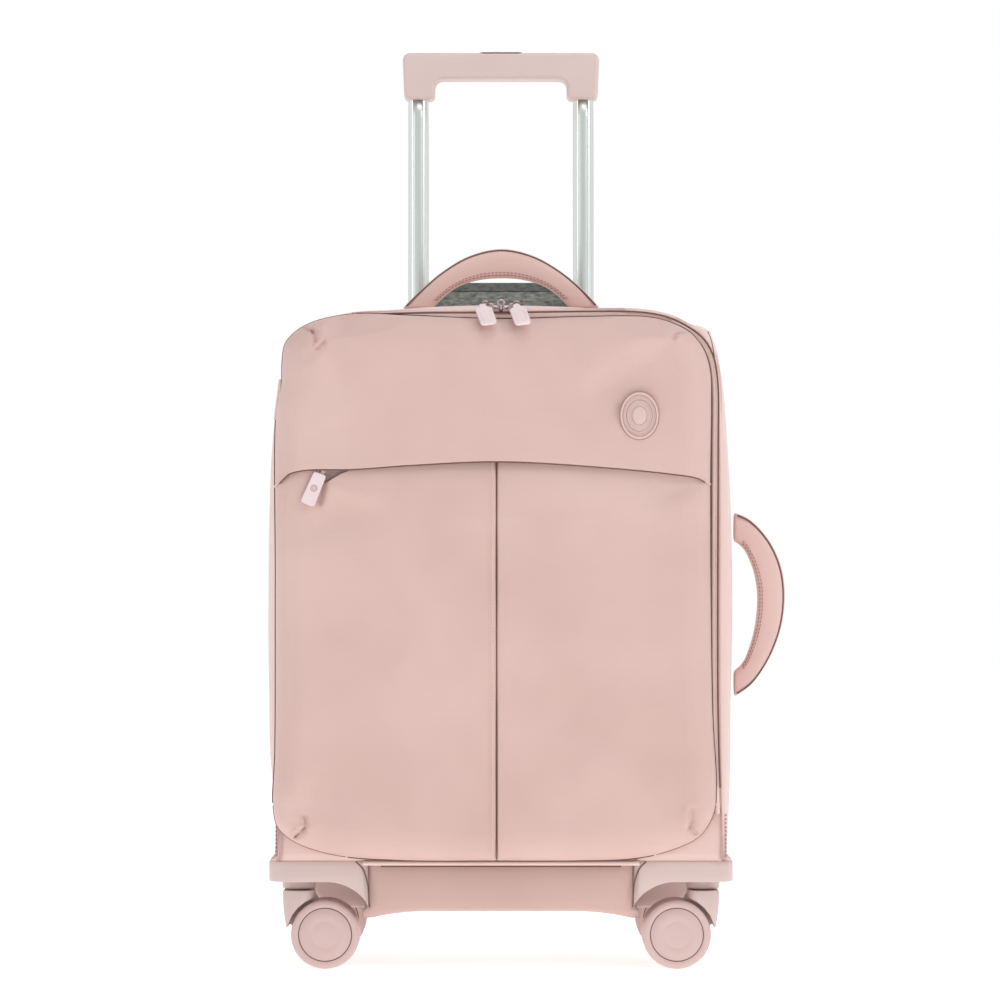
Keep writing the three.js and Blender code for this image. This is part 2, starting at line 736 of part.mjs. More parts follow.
// Corner guard with a domed wheel well and the collar that the fork turns under.
function housing() {
  const outline = roundedShape([
    [outerFace, frontFace, housingCorner],
    [innerFace, frontFace, 2],
    [innerFace, middleFace, 2],
    [outerFace, middleFace, 2],
  ]);
  const wellRise = wellTop - housingBottom;
  const flatRadius = wellRadius - wellRise + 3;
  const well = [
    [0, housingBottom - 6],
    [wellRadius, housingBottom - 6],
    [wellRadius, housingBottom],
  ];
  const steps = 4;
  for (let i = 1; i <= steps; i++) {
    const angle = (i * Math.PI) / 2 / steps;
    well.push([
      flatRadius + (wellRadius - flatRadius) * Math.cos(angle),
      housingBottom + wellRise * Math.sin(angle),
    ]);
  }
  well.push([0, wellTop]);
  const collar = barZ(collarRadius, forkTop + clearance, wellTop + eps, 0, 0, 24);
  const bore = barZ(pinRadius + runningClearance, forkTop - eps, housingTop + eps, 0, 0, 16);
  const block = cut(alongZ(outline, housingBottom, housingTop, 5), turned(well, 32));
  return cut(join(block, collar), bore);
}

// Hooded fork: a hood over the back of the wheels and a web between them that carries the axle.
function fork() {
  const hoodReach = 12;
  const hoodHalf = webThickness / 2 + wheelSideClearance + wheelWidth;
  const hoodBottom = 32;
  const plan = roundedRect(-hoodReach, -hoodHalf, hoodReach, hoodHalf, 9);
  const side = roundedShape([
    [-hoodReach, forkTop, 1.5],
    [-hoodReach, 50, 8],
    [-hoodReach + 3, hoodBottom, 0],
    [wheelTrail, hoodBottom, 0],
    [wheelTrail, forkTop, 0],
  ]);
  const hood = overlap(alongZ(plan, hoodBottom, forkTop), alongY(side, -hoodHalf, hoodHalf));
  const wheelSpace = barY(wheelRadius + 3, -hoodHalf - eps, hoodHalf + eps, wheelTrail, wheelRadius, 24);
  const web = roundedShape([
    [-hoodReach + 2.5, hoodBottom + 3, 3],
    [wheelTrail - 2, wheelRadius - 9, 6],
    [wheelTrail + 9, wheelRadius, 6],
    [hoodReach, forkTop - 1, 3],
    [-hoodReach + 3, forkTop - 1, 3],
  ]);
  const headTop = forkTop - 6;
  const headRecess = barZ(pinHeadRadius + runningClearance, headTop - 4, headTop, 0, 0, 16);
  const stemHole = barZ(pinRadius + runningClearance, headTop - eps, forkTop + eps, 0, 0, 16);
  const axleHole = barY(axleRadius + clearance, -webThickness, webThickness, wheelTrail, wheelRadius, 16);
  const body = join(cut(hood, wheelSpace), alongY(web, -webThickness / 2, webThickness / 2));
  return cut(body, headRecess, stemHole, axleHole);
}

function kingpin() {
  const headTop = forkTop - 6 - runningClearance;
  return turned(
    [
      [0, headTop - 3],
      [pinHeadRadius, headTop - 3],
      [pinHeadRadius, headTop],
      [pinRadius, headTop],
      [pinRadius, housingTop - eps],
      [0, housingTop - eps],
    ],
    12,
  );
}

const wheelSides = 24;

// One wheel about the Y axis, its open side at y = 0 towards the web. A flat, not a corner, is at the bottom.
function wheel() {
  const outer = wheelRadius / Math.cos(Math.PI / wheelSides);
  const chamfer = 1.5;
  const boreRadius = axleRadius + 0.4;
  const boreDepth = wheelWidth - 2;
  const profile = [
    [0, boreDepth],
    [boreRadius, boreDepth],
    [boreRadius, 0],
    [outer - chamfer, 0],
    [outer, chamfer],
    [outer, wheelWidth - chamfer],
    [outer - chamfer, wheelWidth],
    [0, wheelWidth],
  ];
  const points = profile.map(([radius, y]) => new THREE.Vector2(radius, y));
  return new THREE.LatheGeometry(points, wheelSides, Math.PI / wheelSides);
}

function buildCaster(sideX, sideY, label) {
  const caster = new THREE.Group();
  caster.position.set(sideX * swivelX, sideY * swivelY, 0);
  caster.scale.set(-sideX, -sideY, 1);
  part(`caster_housing_${label}`, housing(), materials.plastic, caster);
  part(`caster_kingpin_${label}`, kingpin(), materials.steel, caster);
  part(`caster_fork_${label}`, fork(), materials.plastic, caster);
  const wheelFace = webThickness / 2 + wheelSideClearance;
  const axleHalf = wheelFace + wheelWidth - 3;
  const axle = barY(axleRadius, -axleHalf, axleHalf, wheelTrail, wheelRadius, 12);
  part(`caster_axle_${label}`, axle, materials.steel, caster);
  for (const [facing, twin] of [[-1, "outer"], [1, "inner"]]) {
    const turnedWheel = part(`wheel_${label}_${twin}`, wheel(), materials.tyre, caster);
    turnedWheel.position.set(wheelTrail, facing * wheelFace, wheelRadius);
    turnedWheel.rotation.x = facing < 0 ? Math.PI : 0;
  }
  return caster;
}

// ---------------------------------------------------------------- carry handles
// Padded crescent standing on the X axis, its ends at z = 0, with its thickness along Y.
function carryHandle() {
  const arc = (chord, rise) => {
    const radius = ((chord / 2) ** 2 + rise ** 2) / (2 * rise);
    return { radius, centre: rise - radius, angle: Math.asin(chord / 2 / radius) };
  };
  const innerRise = handleRise - handleBand;
  const outer = arc(handleChord - 2 * handleBevel, handleRise - handleBevel);
  const inner = arc(handleInnerChord + 2 * handleBevel, innerRise + handleBevel);
  const up = Math.PI / 2;
  const shape = new THREE.Shape();
  shape.absarc(0, outer.centre, outer.radius, up - outer.angle, up + outer.angle, false);
  shape.absarc(0, inner.centre, inner.radius, up + inner.angle, up - inner.angle, true);
  shape.closePath();
  const geometry = new THREE.ExtrudeGeometry(shape, {
    depth: handleThickness - 2 * handleBevel,
    bevelSize: handleBevel,
    bevelThickness: handleBevel,
    bevelSegments: 2,
    curveSegments: 10,
  });
  geometry.rotateX(Math.PI / 2).translate(0, handleThickness / 2 - handleBevel, 0);
  return overlap(geometry, box(-handleChord, handleChord, -caseDepth, caseDepth, 0, 2 * handleRise));
}

function buildHandles() {
  const handles = new THREE.Group();
  const topHandle = part("top_handle", carryHandle(), materials.fabric, handles);
  const archDrop = archRadius - Math.sqrt(archRadius ** 2 - (handleChord / 2) ** 2);
  topHandle.position.set(0, 0, archTop - archDrop + 2 * handleStandoff);
  const sideHandle = part("side_handle", carryHandle(), materials.fabric, handles);
  sideHandle.position.set(halfWidth + handleStandoff, 0, sideHandleHeight);
  sideHandle.rotation.y = Math.PI / 2;
  return handles;
}

// ---------------------------------------------------------------- assembly
suitcase.add(
  buildCase(),
  buildLid(),
  buildMainZipPulls(-1, "left"),
  buildMainZipPulls(1, "right"),
  buildPocketPull(),
  buildTrolley(),
  buildHandles(),
);
for (const [sideY, end] of [[-1, "front"], [1, "rear"]])
  for (const [sideX, label] of [[-1, "left"], [1, "right"]])
    suitcase.add(buildCaster(sideX, sideY, `${end}_${label}`));

// The origin goes to the bottom centre of the whole suitcase, side handle included.
const extent = new THREE.Box3().setFromObject(suitcase);
const middle = extent.getCenter(new THREE.Vector3());
suitcase.position.set(-middle.x, -middle.y, -extent.min.z);

export default suitcase;
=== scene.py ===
"""Soft-sided cabin suitcase. Lengths are in millimetres about the middle of the case, and place() turns
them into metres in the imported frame. The lid faces -Y, the side carry handle is on +X."""

from math import atan2, cos, pi, radians, sin

import bmesh
import bpy
import numpy as np
from mathutils import Matrix, Vector


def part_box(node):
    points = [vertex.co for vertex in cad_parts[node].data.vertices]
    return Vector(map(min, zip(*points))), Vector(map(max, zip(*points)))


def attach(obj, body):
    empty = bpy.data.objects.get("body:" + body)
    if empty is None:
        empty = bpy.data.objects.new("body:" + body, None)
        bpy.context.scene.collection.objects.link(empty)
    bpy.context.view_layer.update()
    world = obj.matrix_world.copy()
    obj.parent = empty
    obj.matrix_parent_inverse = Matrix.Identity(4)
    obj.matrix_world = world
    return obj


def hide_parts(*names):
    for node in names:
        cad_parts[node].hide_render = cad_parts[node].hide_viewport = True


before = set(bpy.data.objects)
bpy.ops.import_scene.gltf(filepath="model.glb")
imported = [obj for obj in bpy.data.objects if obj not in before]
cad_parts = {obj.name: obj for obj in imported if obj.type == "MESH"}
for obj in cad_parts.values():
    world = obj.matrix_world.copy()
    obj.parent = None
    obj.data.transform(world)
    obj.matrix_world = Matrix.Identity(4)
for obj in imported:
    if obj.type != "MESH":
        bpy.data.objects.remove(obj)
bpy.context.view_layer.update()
back_low, back_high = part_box("back_panel")
ORIGIN = np.array([(back_low.x + back_high.x) / 2, back_high.y - 0.1, 0.0])
SIDES = (("left", -1), ("right", 1))
CORNERS = [(f"{end}_{side}", sx, sy) for end, sy in (("front", -1), ("rear", 1)) for side, sx in SIDES]


# ---- mesh helpers
def place(points):
    return np.asarray(points, float) / 1000 + ORIGIN


def xyz(x, y, z):
    """Points from three coordinates, each an array or one number for all."""
    return np.stack(np.broadcast_arrays(x, y, z), -1).astype(float)


def cad_box(node):
    """Low and high corner of a CAD node's box, in this file's millimetres."""
    return [np.array(v) * 1000 - ORIGIN * 1000 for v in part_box(node)]


def piece(name, shape, body, material, bevel=None, skin=None, instead_of=()):
    """One object from (points, faces), riding on a body; skin is a cloth's thickness."""
    points, faces = shape
    mesh = bpy.data.meshes.new(name)
    mesh.from_pydata(place(points).tolist(), [], [list(map(int, f)) for f in faces])
    mesh.validate()
    mesh.polygons.foreach_set("use_smooth", [True] * len(mesh.polygons))
    mesh.update()
    obj = bpy.data.objects.new(name, mesh)
    bpy.context.scene.collection.objects.link(obj)
    obj.data.materials.append(material)
    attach(obj, body)
    if bevel:
        bevelled(obj, bevel)
    if skin:
        thick(obj, skin)
    if instead_of:
        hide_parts(*instead_of)
    return obj


def merged(shapes):
    points, faces, start = [], [], 0
    for shape_points, shape_faces in shapes:
        points.append(np.asarray(shape_points, float).reshape(-1, 3))
        faces += [[start + i for i in f] for f in shape_faces]
        start += len(points[-1])
    return np.concatenate(points), faces


def grid(rows, closed=False, away=(0, 0, 300)):
    """A sheet of quads over rows of points, facing away from a point."""
    rows = np.asarray(rows, float)
    n, m = rows.shape[:2]
    flat = rows.reshape(-1, 3)
    faces = []
    for i in range(n - 1):
        for j in range(m if closed else m - 1):
            k = (j + 1) % m
            faces.append((i * m + j, i * m + k, (i + 1) * m + k, (i + 1) * m + j))
    quads = flat[np.array(faces)]
    normals = np.cross(quads[:, 2] - quads[:, 0], quads[:, 3] - quads[:, 1])
    if (normals * (quads.mean(1) - np.array(away, float))).sum() < 0:
        faces = [f[::-1] for f in faces]
    return flat, faces


def spline(points, count, closed=False):
    """A smooth curve through the points, resampled at even spacing."""
    p = np.asarray(points, float)
    if closed:
        p = np.vstack([p[-1], p, p[0], p[1]])
    else:
        p = np.vstack([2 * p[0] - p[1], p, 2 * p[-1] - p[-2]])
    dense = []
    for a, b, c, d in zip(p, p[1:], p[2:], p[3:]):
        step = max(np.linalg.norm(c - b), 1e-6) ** 0.5
        before, after = (max(np.linalg.norm(v), 1e-6) ** 0.5 for v in (b - a, d - c))
        into = (b - a) / before - (c - a) / (before + step) + (c - b) / step
        out = (c - b) / step - (d - b) / (step + after) + (d - c) / after
        t = np.linspace(0, 1, 24, endpoint=False)[:, None]
        into, out = into * step, out * step
        dense.append((2 * t**3 - 3 * t**2 + 1) * b + (t**3 - 2 * t**2 + t) * into
                     + (3 * t**2 - 2 * t**3) * c + (t**3 - t**2) * out)
    dense.append(p[-2][None] if not closed else p[1][None])
    return resample(np.concatenate(dense), count, closed)


def resample(points, count, closed=False):
    p = np.asarray(points, float)
    s = np.concatenate([[0], np.cumsum(np.linalg.norm(np.diff(p, axis=0), axis=1))])
    at = np.linspace(0, s[-1], count + 1 if closed else count)
    out = np.stack([np.interp(at, s, p[:, i]) for i in range(p.shape[1])], 1)
    return out[:-1] if closed else out


def normals_2d(curve, closed=False):
    """Unit normals of a curve in the XZ plane, to the left of its direction."""
    if closed:
        t = np.roll(curve, -1, 0) - np.roll(curve, 1, 0)
    else:
        t = np.gradient(curve, axis=0)
    t /= np.linalg.norm(t, axis=1)[:, None] + 1e-12
    return np.stack([-t[:, 1], t[:, 0]], 1)


def at_depth(curve, y):
    """XZ curve as 3-D points at depth y, a number or one for each point."""
    return xyz(curve[:, 0], y, curve[:, 1])


def circle(x, z, radius, y, count, tall=1.0):
    """Points round a circle, or an oval that is tall times as high as wide, at depth y."""
    a = np.linspace(0, 2 * pi, count, endpoint=False)
    return xyz(x + radius * np.cos(a), y, z + radius * tall * np.sin(a))


def area_2d(outline):
    """Twice the area of an outline, above 0 where it runs anticlockwise."""
    return (outline[:, 0] * np.roll(outline[:, 1], -1) - np.roll(outline[:, 0], -1) * outline[:, 1]).sum()


def tube(path, radius, sides=8, closed=False, up=(0, -1, 0), wide=1.0):
    """A closed cord of round or oval section along a path, with up never along the path."""
    p = np.asarray(path, float)
    t = np.roll(p, -1, 0) - np.roll(p, 1, 0) if closed else np.gradient(p, axis=0)
    t /= np.linalg.norm(t, axis=1)[:, None] + 1e-12
    side = np.cross(t, np.array(up, float))
    side /= np.linalg.norm(side, axis=1)[:, None] + 1e-12
    rise = np.cross(side, t)
    r = np.broadcast_to(radius, len(p))[:, None, None]
    a = np.arange(sides) * 2 * pi / sides
    ring = np.cos(a)[None, :, None] * side[:, None] * wide + np.sin(a)[None, :, None] * rise[:, None]
    flat = (p[:, None] + r * ring).reshape(-1, 3)
    n = len(p)
    faces = []
    for i in range(n if closed else n - 1):
        for j in range(sides):
            k, q = (j + 1) % sides, (i + 1) % n
            faces.append((i * sides + j, i * sides + k, q * sides + k, q * sides + j))
    if not closed:
        faces += [tuple(range(sides))[::-1], tuple((n - 1) * sides + j for j in range(sides))]
    return flat, faces


def stitches(path, pitch=3.2, radius=0.42, length=0.68, up=(0, -1, 0)):
    """A row of thread stitches, each a short capsule lying along the path."""
    p = np.asarray(path, float)
    total = np.linalg.norm(np.diff(p, axis=0), axis=1).sum()
    count = max(2, int(total / pitch))
    q = resample(p, count * 2 + 1)
    shapes = []
    for i in range(count):
        a, b = q[2 * i], q[2 * i + 2]
        d = (b - a) * length
        line = np.stack([a + d * f for f in (0.0, 0.12, 0.5, 0.88, 1.0)])
        shapes.append(tube(line, radius * np.array([0.35, 0.9, 1, 0.9, 0.35]), 5, up=up))
    return merged(shapes)


def lathe(profile, centre, axis, count=48):
    """A body turned about an axis; profile is (radius, distance along the axis) and starts and ends at 0."""
    axis = np.array(axis, float)
    first = np.cross(axis, [0.3, 0.5, 0.8])
    first /= np.linalg.norm(first)
    second = np.cross(axis, first)
    a = np.arange(count) * 2 * pi / count
    ring = np.cos(a)[:, None] * first + np.sin(a)[:, None] * second
    rows = [np.array(centre, float) + axis * h + ring * max(r, 0.02) for r, h in profile]
    points, faces = grid(rows, True, np.array(centre, float) + axis * np.mean([h for _, h in profile]))
    last = (len(rows) - 1) * count
    flip = faces[0][0] < faces[0][1]
    start_cap, end_cap = tuple(range(count)), tuple(last + j for j in range(count))
    faces += [start_cap[::-1], end_cap] if flip else [start_cap, end_cap[::-1]]
    return points, faces


def plate(outline, near, far):
    """A flat-faced solid from an XZ outline, between two depths."""
    o = np.asarray(outline, float)
    n = len(o)
    points = np.vstack([at_depth(o, near), at_depth(o, far)])
    faces = [tuple(range(n)), tuple(range(n, 2 * n))[::-1]]
    faces += [(i, i + n, (i + 1) % n + n, (i + 1) % n) for i in range(n)]
    if (area_2d(o) > 0) != (far > near):
        faces = [f[::-1] for f in faces]
    return points, faces


def rounded(corners, steps=6):
    """Closed XZ outline through (x, z, radius) corners, given anticlockwise."""
    c = np.asarray(corners, float)
    out = []
    for before, here, after in zip(np.roll(c, 1, 0), c, np.roll(c, -1, 0)):
        p = here[:2]
        a, b = before[:2] - p, after[:2] - p
        a, b = a / np.linalg.norm(a), b / np.linalg.norm(b)
        half = np.arccos(np.clip(a @ b, -1, 1)) / 2
        reach = here[2] / np.tan(half)
        start, end = p + a * reach, p + b * reach
        centre = p + (a + b) / np.linalg.norm(a + b) * here[2] / sin(half)
        u, v = start - centre, end - centre
        turn = atan2(u[0] * v[1] - u[1] * v[0], u @ v)
        for f in np.linspace(0, 1, steps):
            w = turn * f
            out.append(centre + np.array([u[0] * cos(w) - u[1] * sin(w), u[0] * sin(w) + u[1] * cos(w)]))
    return np.array(out)


def oblong(x_low, z_low, x_high, z_high, radius):
    """Corners of an upright oblong, for rounded()."""
    return [(x, z, radius) for x, z in ((x_low, z_low), (x_high, z_low), (x_high, z_high), (x_low, z_high))]


def even_loop(corners, steps, count):
    """Closed outline through rounded corners, at even spacing."""
    outline = rounded(corners, steps)
    return resample(np.vstack([outline, outline[:1]]), count, True)


def moved(shape, matrix):
    points, faces = shape
    return np.array([matrix @ Vector(p) for p in points]), faces


def bevelled(obj, width, segments=3, angle=35):
    m = obj.modifiers.new("bevel", "BEVEL")
    m.width, m.segments, m.angle_limit = width / 1000, segments, radians(angle)
    m.limit_method, m.harden_normals = "ANGLE", True
    return obj


def thick(obj, thickness, offset=-1.0):
    m = obj.modifiers.new("thickness", "SOLIDIFY")
    m.thickness, m.offset, m.use_even_offset = thickness / 1000, offset, False
    return obj


def finer(obj):
    m = obj.modifiers.new("smooth", "SUBSURF")
    m.levels = m.render_levels = 1


def from_cad(node, name, body, material, bevel, angle=35):
    """A CAD node's own shape, with its facets joined up and its edges rounded."""
    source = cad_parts[node]
    obj = bpy.data.objects.new(name, source.data.copy())
    bpy.context.scene.collection.objects.link(obj)
    bm = bmesh.new()
    bm.from_mesh(obj.data)
    bmesh.ops.remove_doubles(bm, verts=bm.verts, dist=2e-5)
    bmesh.ops.dissolve_limit(bm, angle_limit=radians(1.5), verts=bm.verts, edges=bm.edges)
    for f in bm.faces:
        f.smooth = True
    bm.to_mesh(obj.data)
    bm.free()
    obj.data.materials.clear()
    obj.data.materials.append(material)
    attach(obj, body)
    bevelled(obj, bevel, 3, angle)
    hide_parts(node)
    return obj


# ---- materials
class Recipe:
    """A material's node tree, with the few nodes that all materials here are made of."""

    def __init__(self, tree_owner):
        tree_owner.use_nodes = True
        self.owner, self.nodes, self.links = tree_owner, tree_owner.node_tree.nodes, tree_owner.node_tree.links

    def add(self, kind, **sockets):
        node = self.nodes.new("ShaderNode" + kind)
        for socket, value in sockets.items():
            node.inputs[socket].default_value = value
        return node

    def noise(self, scale, detail=3.0, rough=0.5, where=None):
        n = self.add("TexNoise", Scale=scale, Detail=detail, Roughness=rough)
        self.links.new(where or self.where, n.inputs["Vector"])
        return n.outputs["Fac"]

    def maths(self, kind, a, b):
        m = self.add("Math")
        m.operation = kind
        for socket, value in zip(m.inputs, (a, b)):
            if isinstance(value, (int, float)):
                socket.default_value = value
            else:
                self.links.new(value, socket)
        return m.outputs[0]

    def colour(self, value, deep, tone, start=0.3, end=0.7):
        """Base colour from deep to tone, as value goes from start to end."""
        r = self.add("ValToRGB")
        low, high = r.color_ramp.elements
        low.position, high.position, low.color, high.color = start, end, linear(deep), linear(tone)
        self.links.new(value, r.inputs["Fac"])
        self.links.new(r.outputs["Color"], self.shader.inputs["Base Color"])

    def roughness(self, value, middle, spread):
        """Roughness that varies about a middle value."""
        part = self.maths("MULTIPLY", value, spread)
        self.links.new(self.maths("ADD", part, middle - spread / 2), self.shader.inputs["Roughness"])

    def bump(self, height, distance):
        b = self.add("Bump", Strength=1.0, Distance=distance / 1000)
        self.links.new(height, b.inputs["Height"])
        self.links.new(b.outputs["Normal"], self.shader.inputs["Normal"])

    def stretched(self, *scale):
        s = self.add("Mapping", Scale=scale)
        self.links.new(self.where, s.inputs["Vector"])
        return s.outputs["Vector"]


def new_recipe(name, roughness, metallic=0.0):
    r = Recipe(bpy.data.materials.new(name))
    r.shader = r.nodes["Principled BSDF"]
    r.shader.inputs["Roughness"].default_value = roughness
    r.shader.inputs["Metallic"].default_value = metallic
    r.where = r.add("TexCoord").outputs["Object"]
    return r


def linear(rgb):
    return [((c / 255 + 0.055) / 1.055) ** 2.4 for c in rgb] + [1]


def threads(r, pitch):
    """Crossing threads, the same on faces that look any way."""
    waves = []
    for axis in "XYZ":
        w = r.add("TexWave", Scale=1000 / pitch / (2 * pi) * 2, Distortion=0.4, Detail=0)
        w.bands_direction = axis
        r.links.new(r.where, w.inputs["Vector"])
        waves.append(w.outputs["Fac"])
    pair = r.maths("MULTIPLY", waves[0], waves[2])
    return r.maths("ADD", pair, r.maths("MULTIPLY", waves[1], waves[2]))


def fabric(name, tone, deep, roughness=0.5, sheen=0.25, pitch=0.9, weave=0.05, puff=0.5):
    """Coated cloth: two close tones, a soft sheen, a fine weave and a slight unevenness under it."""
    r = new_recipe(name, roughness)
    r.colour(r.noise(9, 2), deep, tone)
    for socket, value in (("Sheen Weight", sheen), ("Sheen Roughness", 0.4), ("Specular IOR Level", 0.4)):
        r.shader.inputs[socket].default_value = value
    r.roughness(r.noise(900, 2), roughness, 0.14)
    fine = r.maths("MULTIPLY", threads(r, pitch), weave)
    soft = r.maths("MULTIPLY", r.noise(28, 1), puff)
    r.bump(r.maths("ADD", fine, soft), 1.0)
    return r.owner


def moulded(name, tone, deep, roughness=0.38, grain=0.03):
    """Moulded plastic with a fine spark-eroded grain."""
    r = new_recipe(name, roughness)
    r.colour(r.noise(14, 2), deep, tone)
    grains = r.noise(1400, 2)
    r.roughness(grains, roughness, 0.12)
    r.bump(grains, grain)
    return r.owner


def brushed_metal(name, tone, roughness=0.25):
    """Drawn metal with fine lines along the tube."""
    r = new_recipe(name, roughness, 1.0)
    lines = r.noise(1.0, 2, where=r.stretched(900, 900, 6))
    r.colour(lines, [c * 0.94 for c in tone], tone)
    r.roughness(lines, roughness, 0.14)
    r.bump(lines, 0.01)
    return r.owner


def marl(name, light, dark):
    """Grey moulding flecked with short lighter and darker streaks."""
    r = new_recipe(name, 0.6)
    flecks = r.noise(170, 4, 0.7, r.stretched(1, 3, 3))
    r.colour(flecks, dark, light, 0.36, 0.62)
    r.bump(flecks, 0.15)
    return r.owner


BODY_CLOTH = fabric("body_cloth", (231, 203, 196), (226, 196, 189))
# the body cloth made darker for the flap: painted shade on the lid's front, which takes less light than the
# sides
FLAP_SHADED_CLOTH = fabric("flap_shaded_cloth", (217, 186, 179), (209, 177, 170))
# the body cloth made darker for the belly: painted shade under the case
BELLY_SHADED_CLOTH = fabric("belly_shaded_cloth", (206, 175, 167), (199, 167, 159))
# the body cloth made darker for the lower pocket: painted shade on the lid's front
POCKET_SHADED_CLOTH = fabric("pocket_shaded_cloth", (218, 187, 179), (208, 176, 168))
HANDLE_CLOTH = fabric("handle_cloth", (226, 196, 189), (220, 188, 181), 0.52)
PIPING_CLOTH = fabric("piping_cloth", (236, 210, 203), (229, 200, 193), 0.45)
LINING_CLOTH = fabric("lining_cloth", (214, 190, 184), (205, 180, 174), 0.7, 0.3, 1.6, 0.09, 0.8)
TAPE_CLOTH = fabric("tape_cloth", (224, 196, 189), (214, 184, 177), 0.6, 0.2, 1.1, 0.14, 0.1)
# dark cloth for painted shadow lines: thin strips laid in seams, gaps and grooves where shade falls
SEAM_SHADE = fabric("seam_shade", (128, 95, 89), (108, 78, 72), 0.8, 0.0, 1.2, 0.1, 0.1)
# thread colour for stitches and a printed mark, also used for the softer painted shadow lines at the lid's edge
# and round the badge's steps
THREAD_AND_PAINTED_SHADE = fabric("thread", (180, 134, 124), (158, 112, 102), 0.6, 0.3, 0.6, 0.1, 0.1)
BADGE_PLASTIC = moulded("badge_plastic", (222, 195, 189), (215, 187, 181), 0.42)
MOULDED = moulded("moulded_pink", (215, 193, 189), (209, 187, 182))
GRIP_PLASTIC = moulded("grip_plastic", (213, 192, 187), (207, 186, 181), 0.42)
PULL_PLASTIC = moulded("pull_plastic", (236, 218, 219), (230, 211, 213), 0.34)
WHEEL_PLASTIC = moulded("wheel_plastic", (215, 188, 184), (209, 181, 176), 0.45)
DARK_PLASTIC = moulded("dark_gap", (70, 55, 53), (52, 40, 39), 0.7)
ALUMINIUM = brushed_metal("aluminium_tube", (240, 244, 242), 0.24)
# darker metal for bands painted down the tubes: a painted reflection
REFLECTION_BAND_METAL = brushed_metal("tube_reflection_band", (212, 219, 215), 0.34)
STEEL = brushed_metal("steel", (176, 160, 158), 0.3)
BEZEL_GREY = marl("bezel_marl", (172, 175, 169), (104, 108, 104))
BEZEL_DARK = marl("bezel_band", (122, 128, 124), (82, 88, 86))


# ---- outlines of the case and the lid
LEFT_EDGE = [(-177.5, 84), (-176, 106), (-178, 130), (-182, 168), (-182.5, 290), (-181, 400), (-176, 438),
             (-169.5, 462), (-165, 480), (-159, 491), (-146, 498.5), (-104, 508.8), (-60, 513.5)]
RIGHT_EDGE = [(0, 515.2), (77, 512.4), (115, 507.6), (148, 500.6), (160.5, 496.6), (167.5, 486),
              (172.3, 465.5), (177, 428), (180.3, 380), (181.6, 290), (180.5, 160), (177, 84)]
CASE_EDGE = spline(LEFT_EDGE + RIGHT_EDGE, 281)
MOUTH_EDGE = spline([(-170, 84), (-170, 120), (-171, 250), (-170.5, 400), (-166, 441), (-161, 466), (-153, 482),
                     (-140, 493), (-118, 500.6), (-70, 503.4), (0, 503.8), (91, 504.8), (112, 503.6),
                     (129, 499.9), (145, 492), (156.3, 482.4), (163, 470), (166.4, 450), (166.6, 400),
                     (166.2, 200), (168.4, 122), (170.5, 84)], 281)
LID_EDGE = spline([(-5, 84.4), (-77, 84.8), (-128, 89), (-158, 99), (-170.5, 110), (-174, 125), (-172.6, 170),
                   (-172.4, 300), (-172, 428), (-168.2, 448), (-167.6, 466), (-165.5, 479), (-159, 487.4),
                   (-149, 494), (-134, 499.2), (-109, 502.6), (-70, 501.3), (0, 498.6), (60, 500.2),
                   (100, 500.8), (116, 499.6), (131, 495.6), (146, 487.2), (155.6, 474.5), (160.3, 458),
                   (160.9, 432), (160.2, 372), (161.6, 200), (164.4, 140), (162.3, 120), (151.5, 103),
                   (127, 91.5), (100, 86), (60, 84.5)], 720, True)
BEZEL_HALF, BEZEL_NEAR, BEZEL_FAR = 84.0, 60.0, 92.0
BELLY_HALF = 101.6


def snapped(edge):
    """The case's edge with one point set on each end of the trolley bezel."""
    edge = edge.copy()
    for side in (-1, 1):
        upper = np.where(edge[:, 1] > 450)[0]
        i = upper[np.argmin(abs(edge[upper, 0] - side * BEZEL_HALF))]
        edge[i, 0] = side * BEZEL_HALF
    return edge


CASE_EDGE = snapped(CASE_EDGE)
EDGE_NORMAL = normals_2d(CASE_EDGE)  # points out of the case
LID_INWARD = normals_2d(LID_EDGE, True) * np.sign(area_2d(LID_EDGE))


def case_ring(y, inset):
    """The body's outline at depth y: it draws in towards the front, and the top rises towards the back."""
    drawn_in = 5.2 * (max(-y, 0) / 80) ** 2 + inset
    rise = 4.3 * sin(pi / 2 * min(max(y, 0) / 60, 1)) * np.clip(EDGE_NORMAL[:, 1], 0, 1) ** 2
    sway = 0.7 * np.sin(CASE_EDGE[:, 1] / 31 + y / 23) * np.clip(abs(EDGE_NORMAL[:, 0]), 0, 1)
    sway *= sin(pi * min(max((y + 86) / 172, 0), 1))
    return CASE_EDGE + EDGE_NORMAL * (rise - drawn_in + sway)[:, None]


def edge_distance(points, outline=LID_EDGE):
    """Distance in from an outline, for each XZ point."""
    a, b = outline, np.roll(outline, -1, 0)
    d = b - a
    best = np.full(len(points), 1e9)
    for i in range(0, len(points), 2000):
        p = points[i : i + 2000, None]
        t = np.clip(((p - a) * d).sum(2) / (d * d).sum(1), 0, 1)
        best[i : i + 2000] = np.linalg.norm(p - (a + d * t[..., None]), axis=2).min(1)
    return best


def between(outline, start, end, count):
    """The stretch of a closed outline from the point nearest start to the one nearest end."""
    i = np.argmin(np.linalg.norm(outline - start, axis=1))
    j = np.argmin(np.linalg.norm(outline - end, axis=1))
    if j <= i:
        j += len(outline)
    return resample(outline[np.arange(i, j + 1) % len(outline)], count)


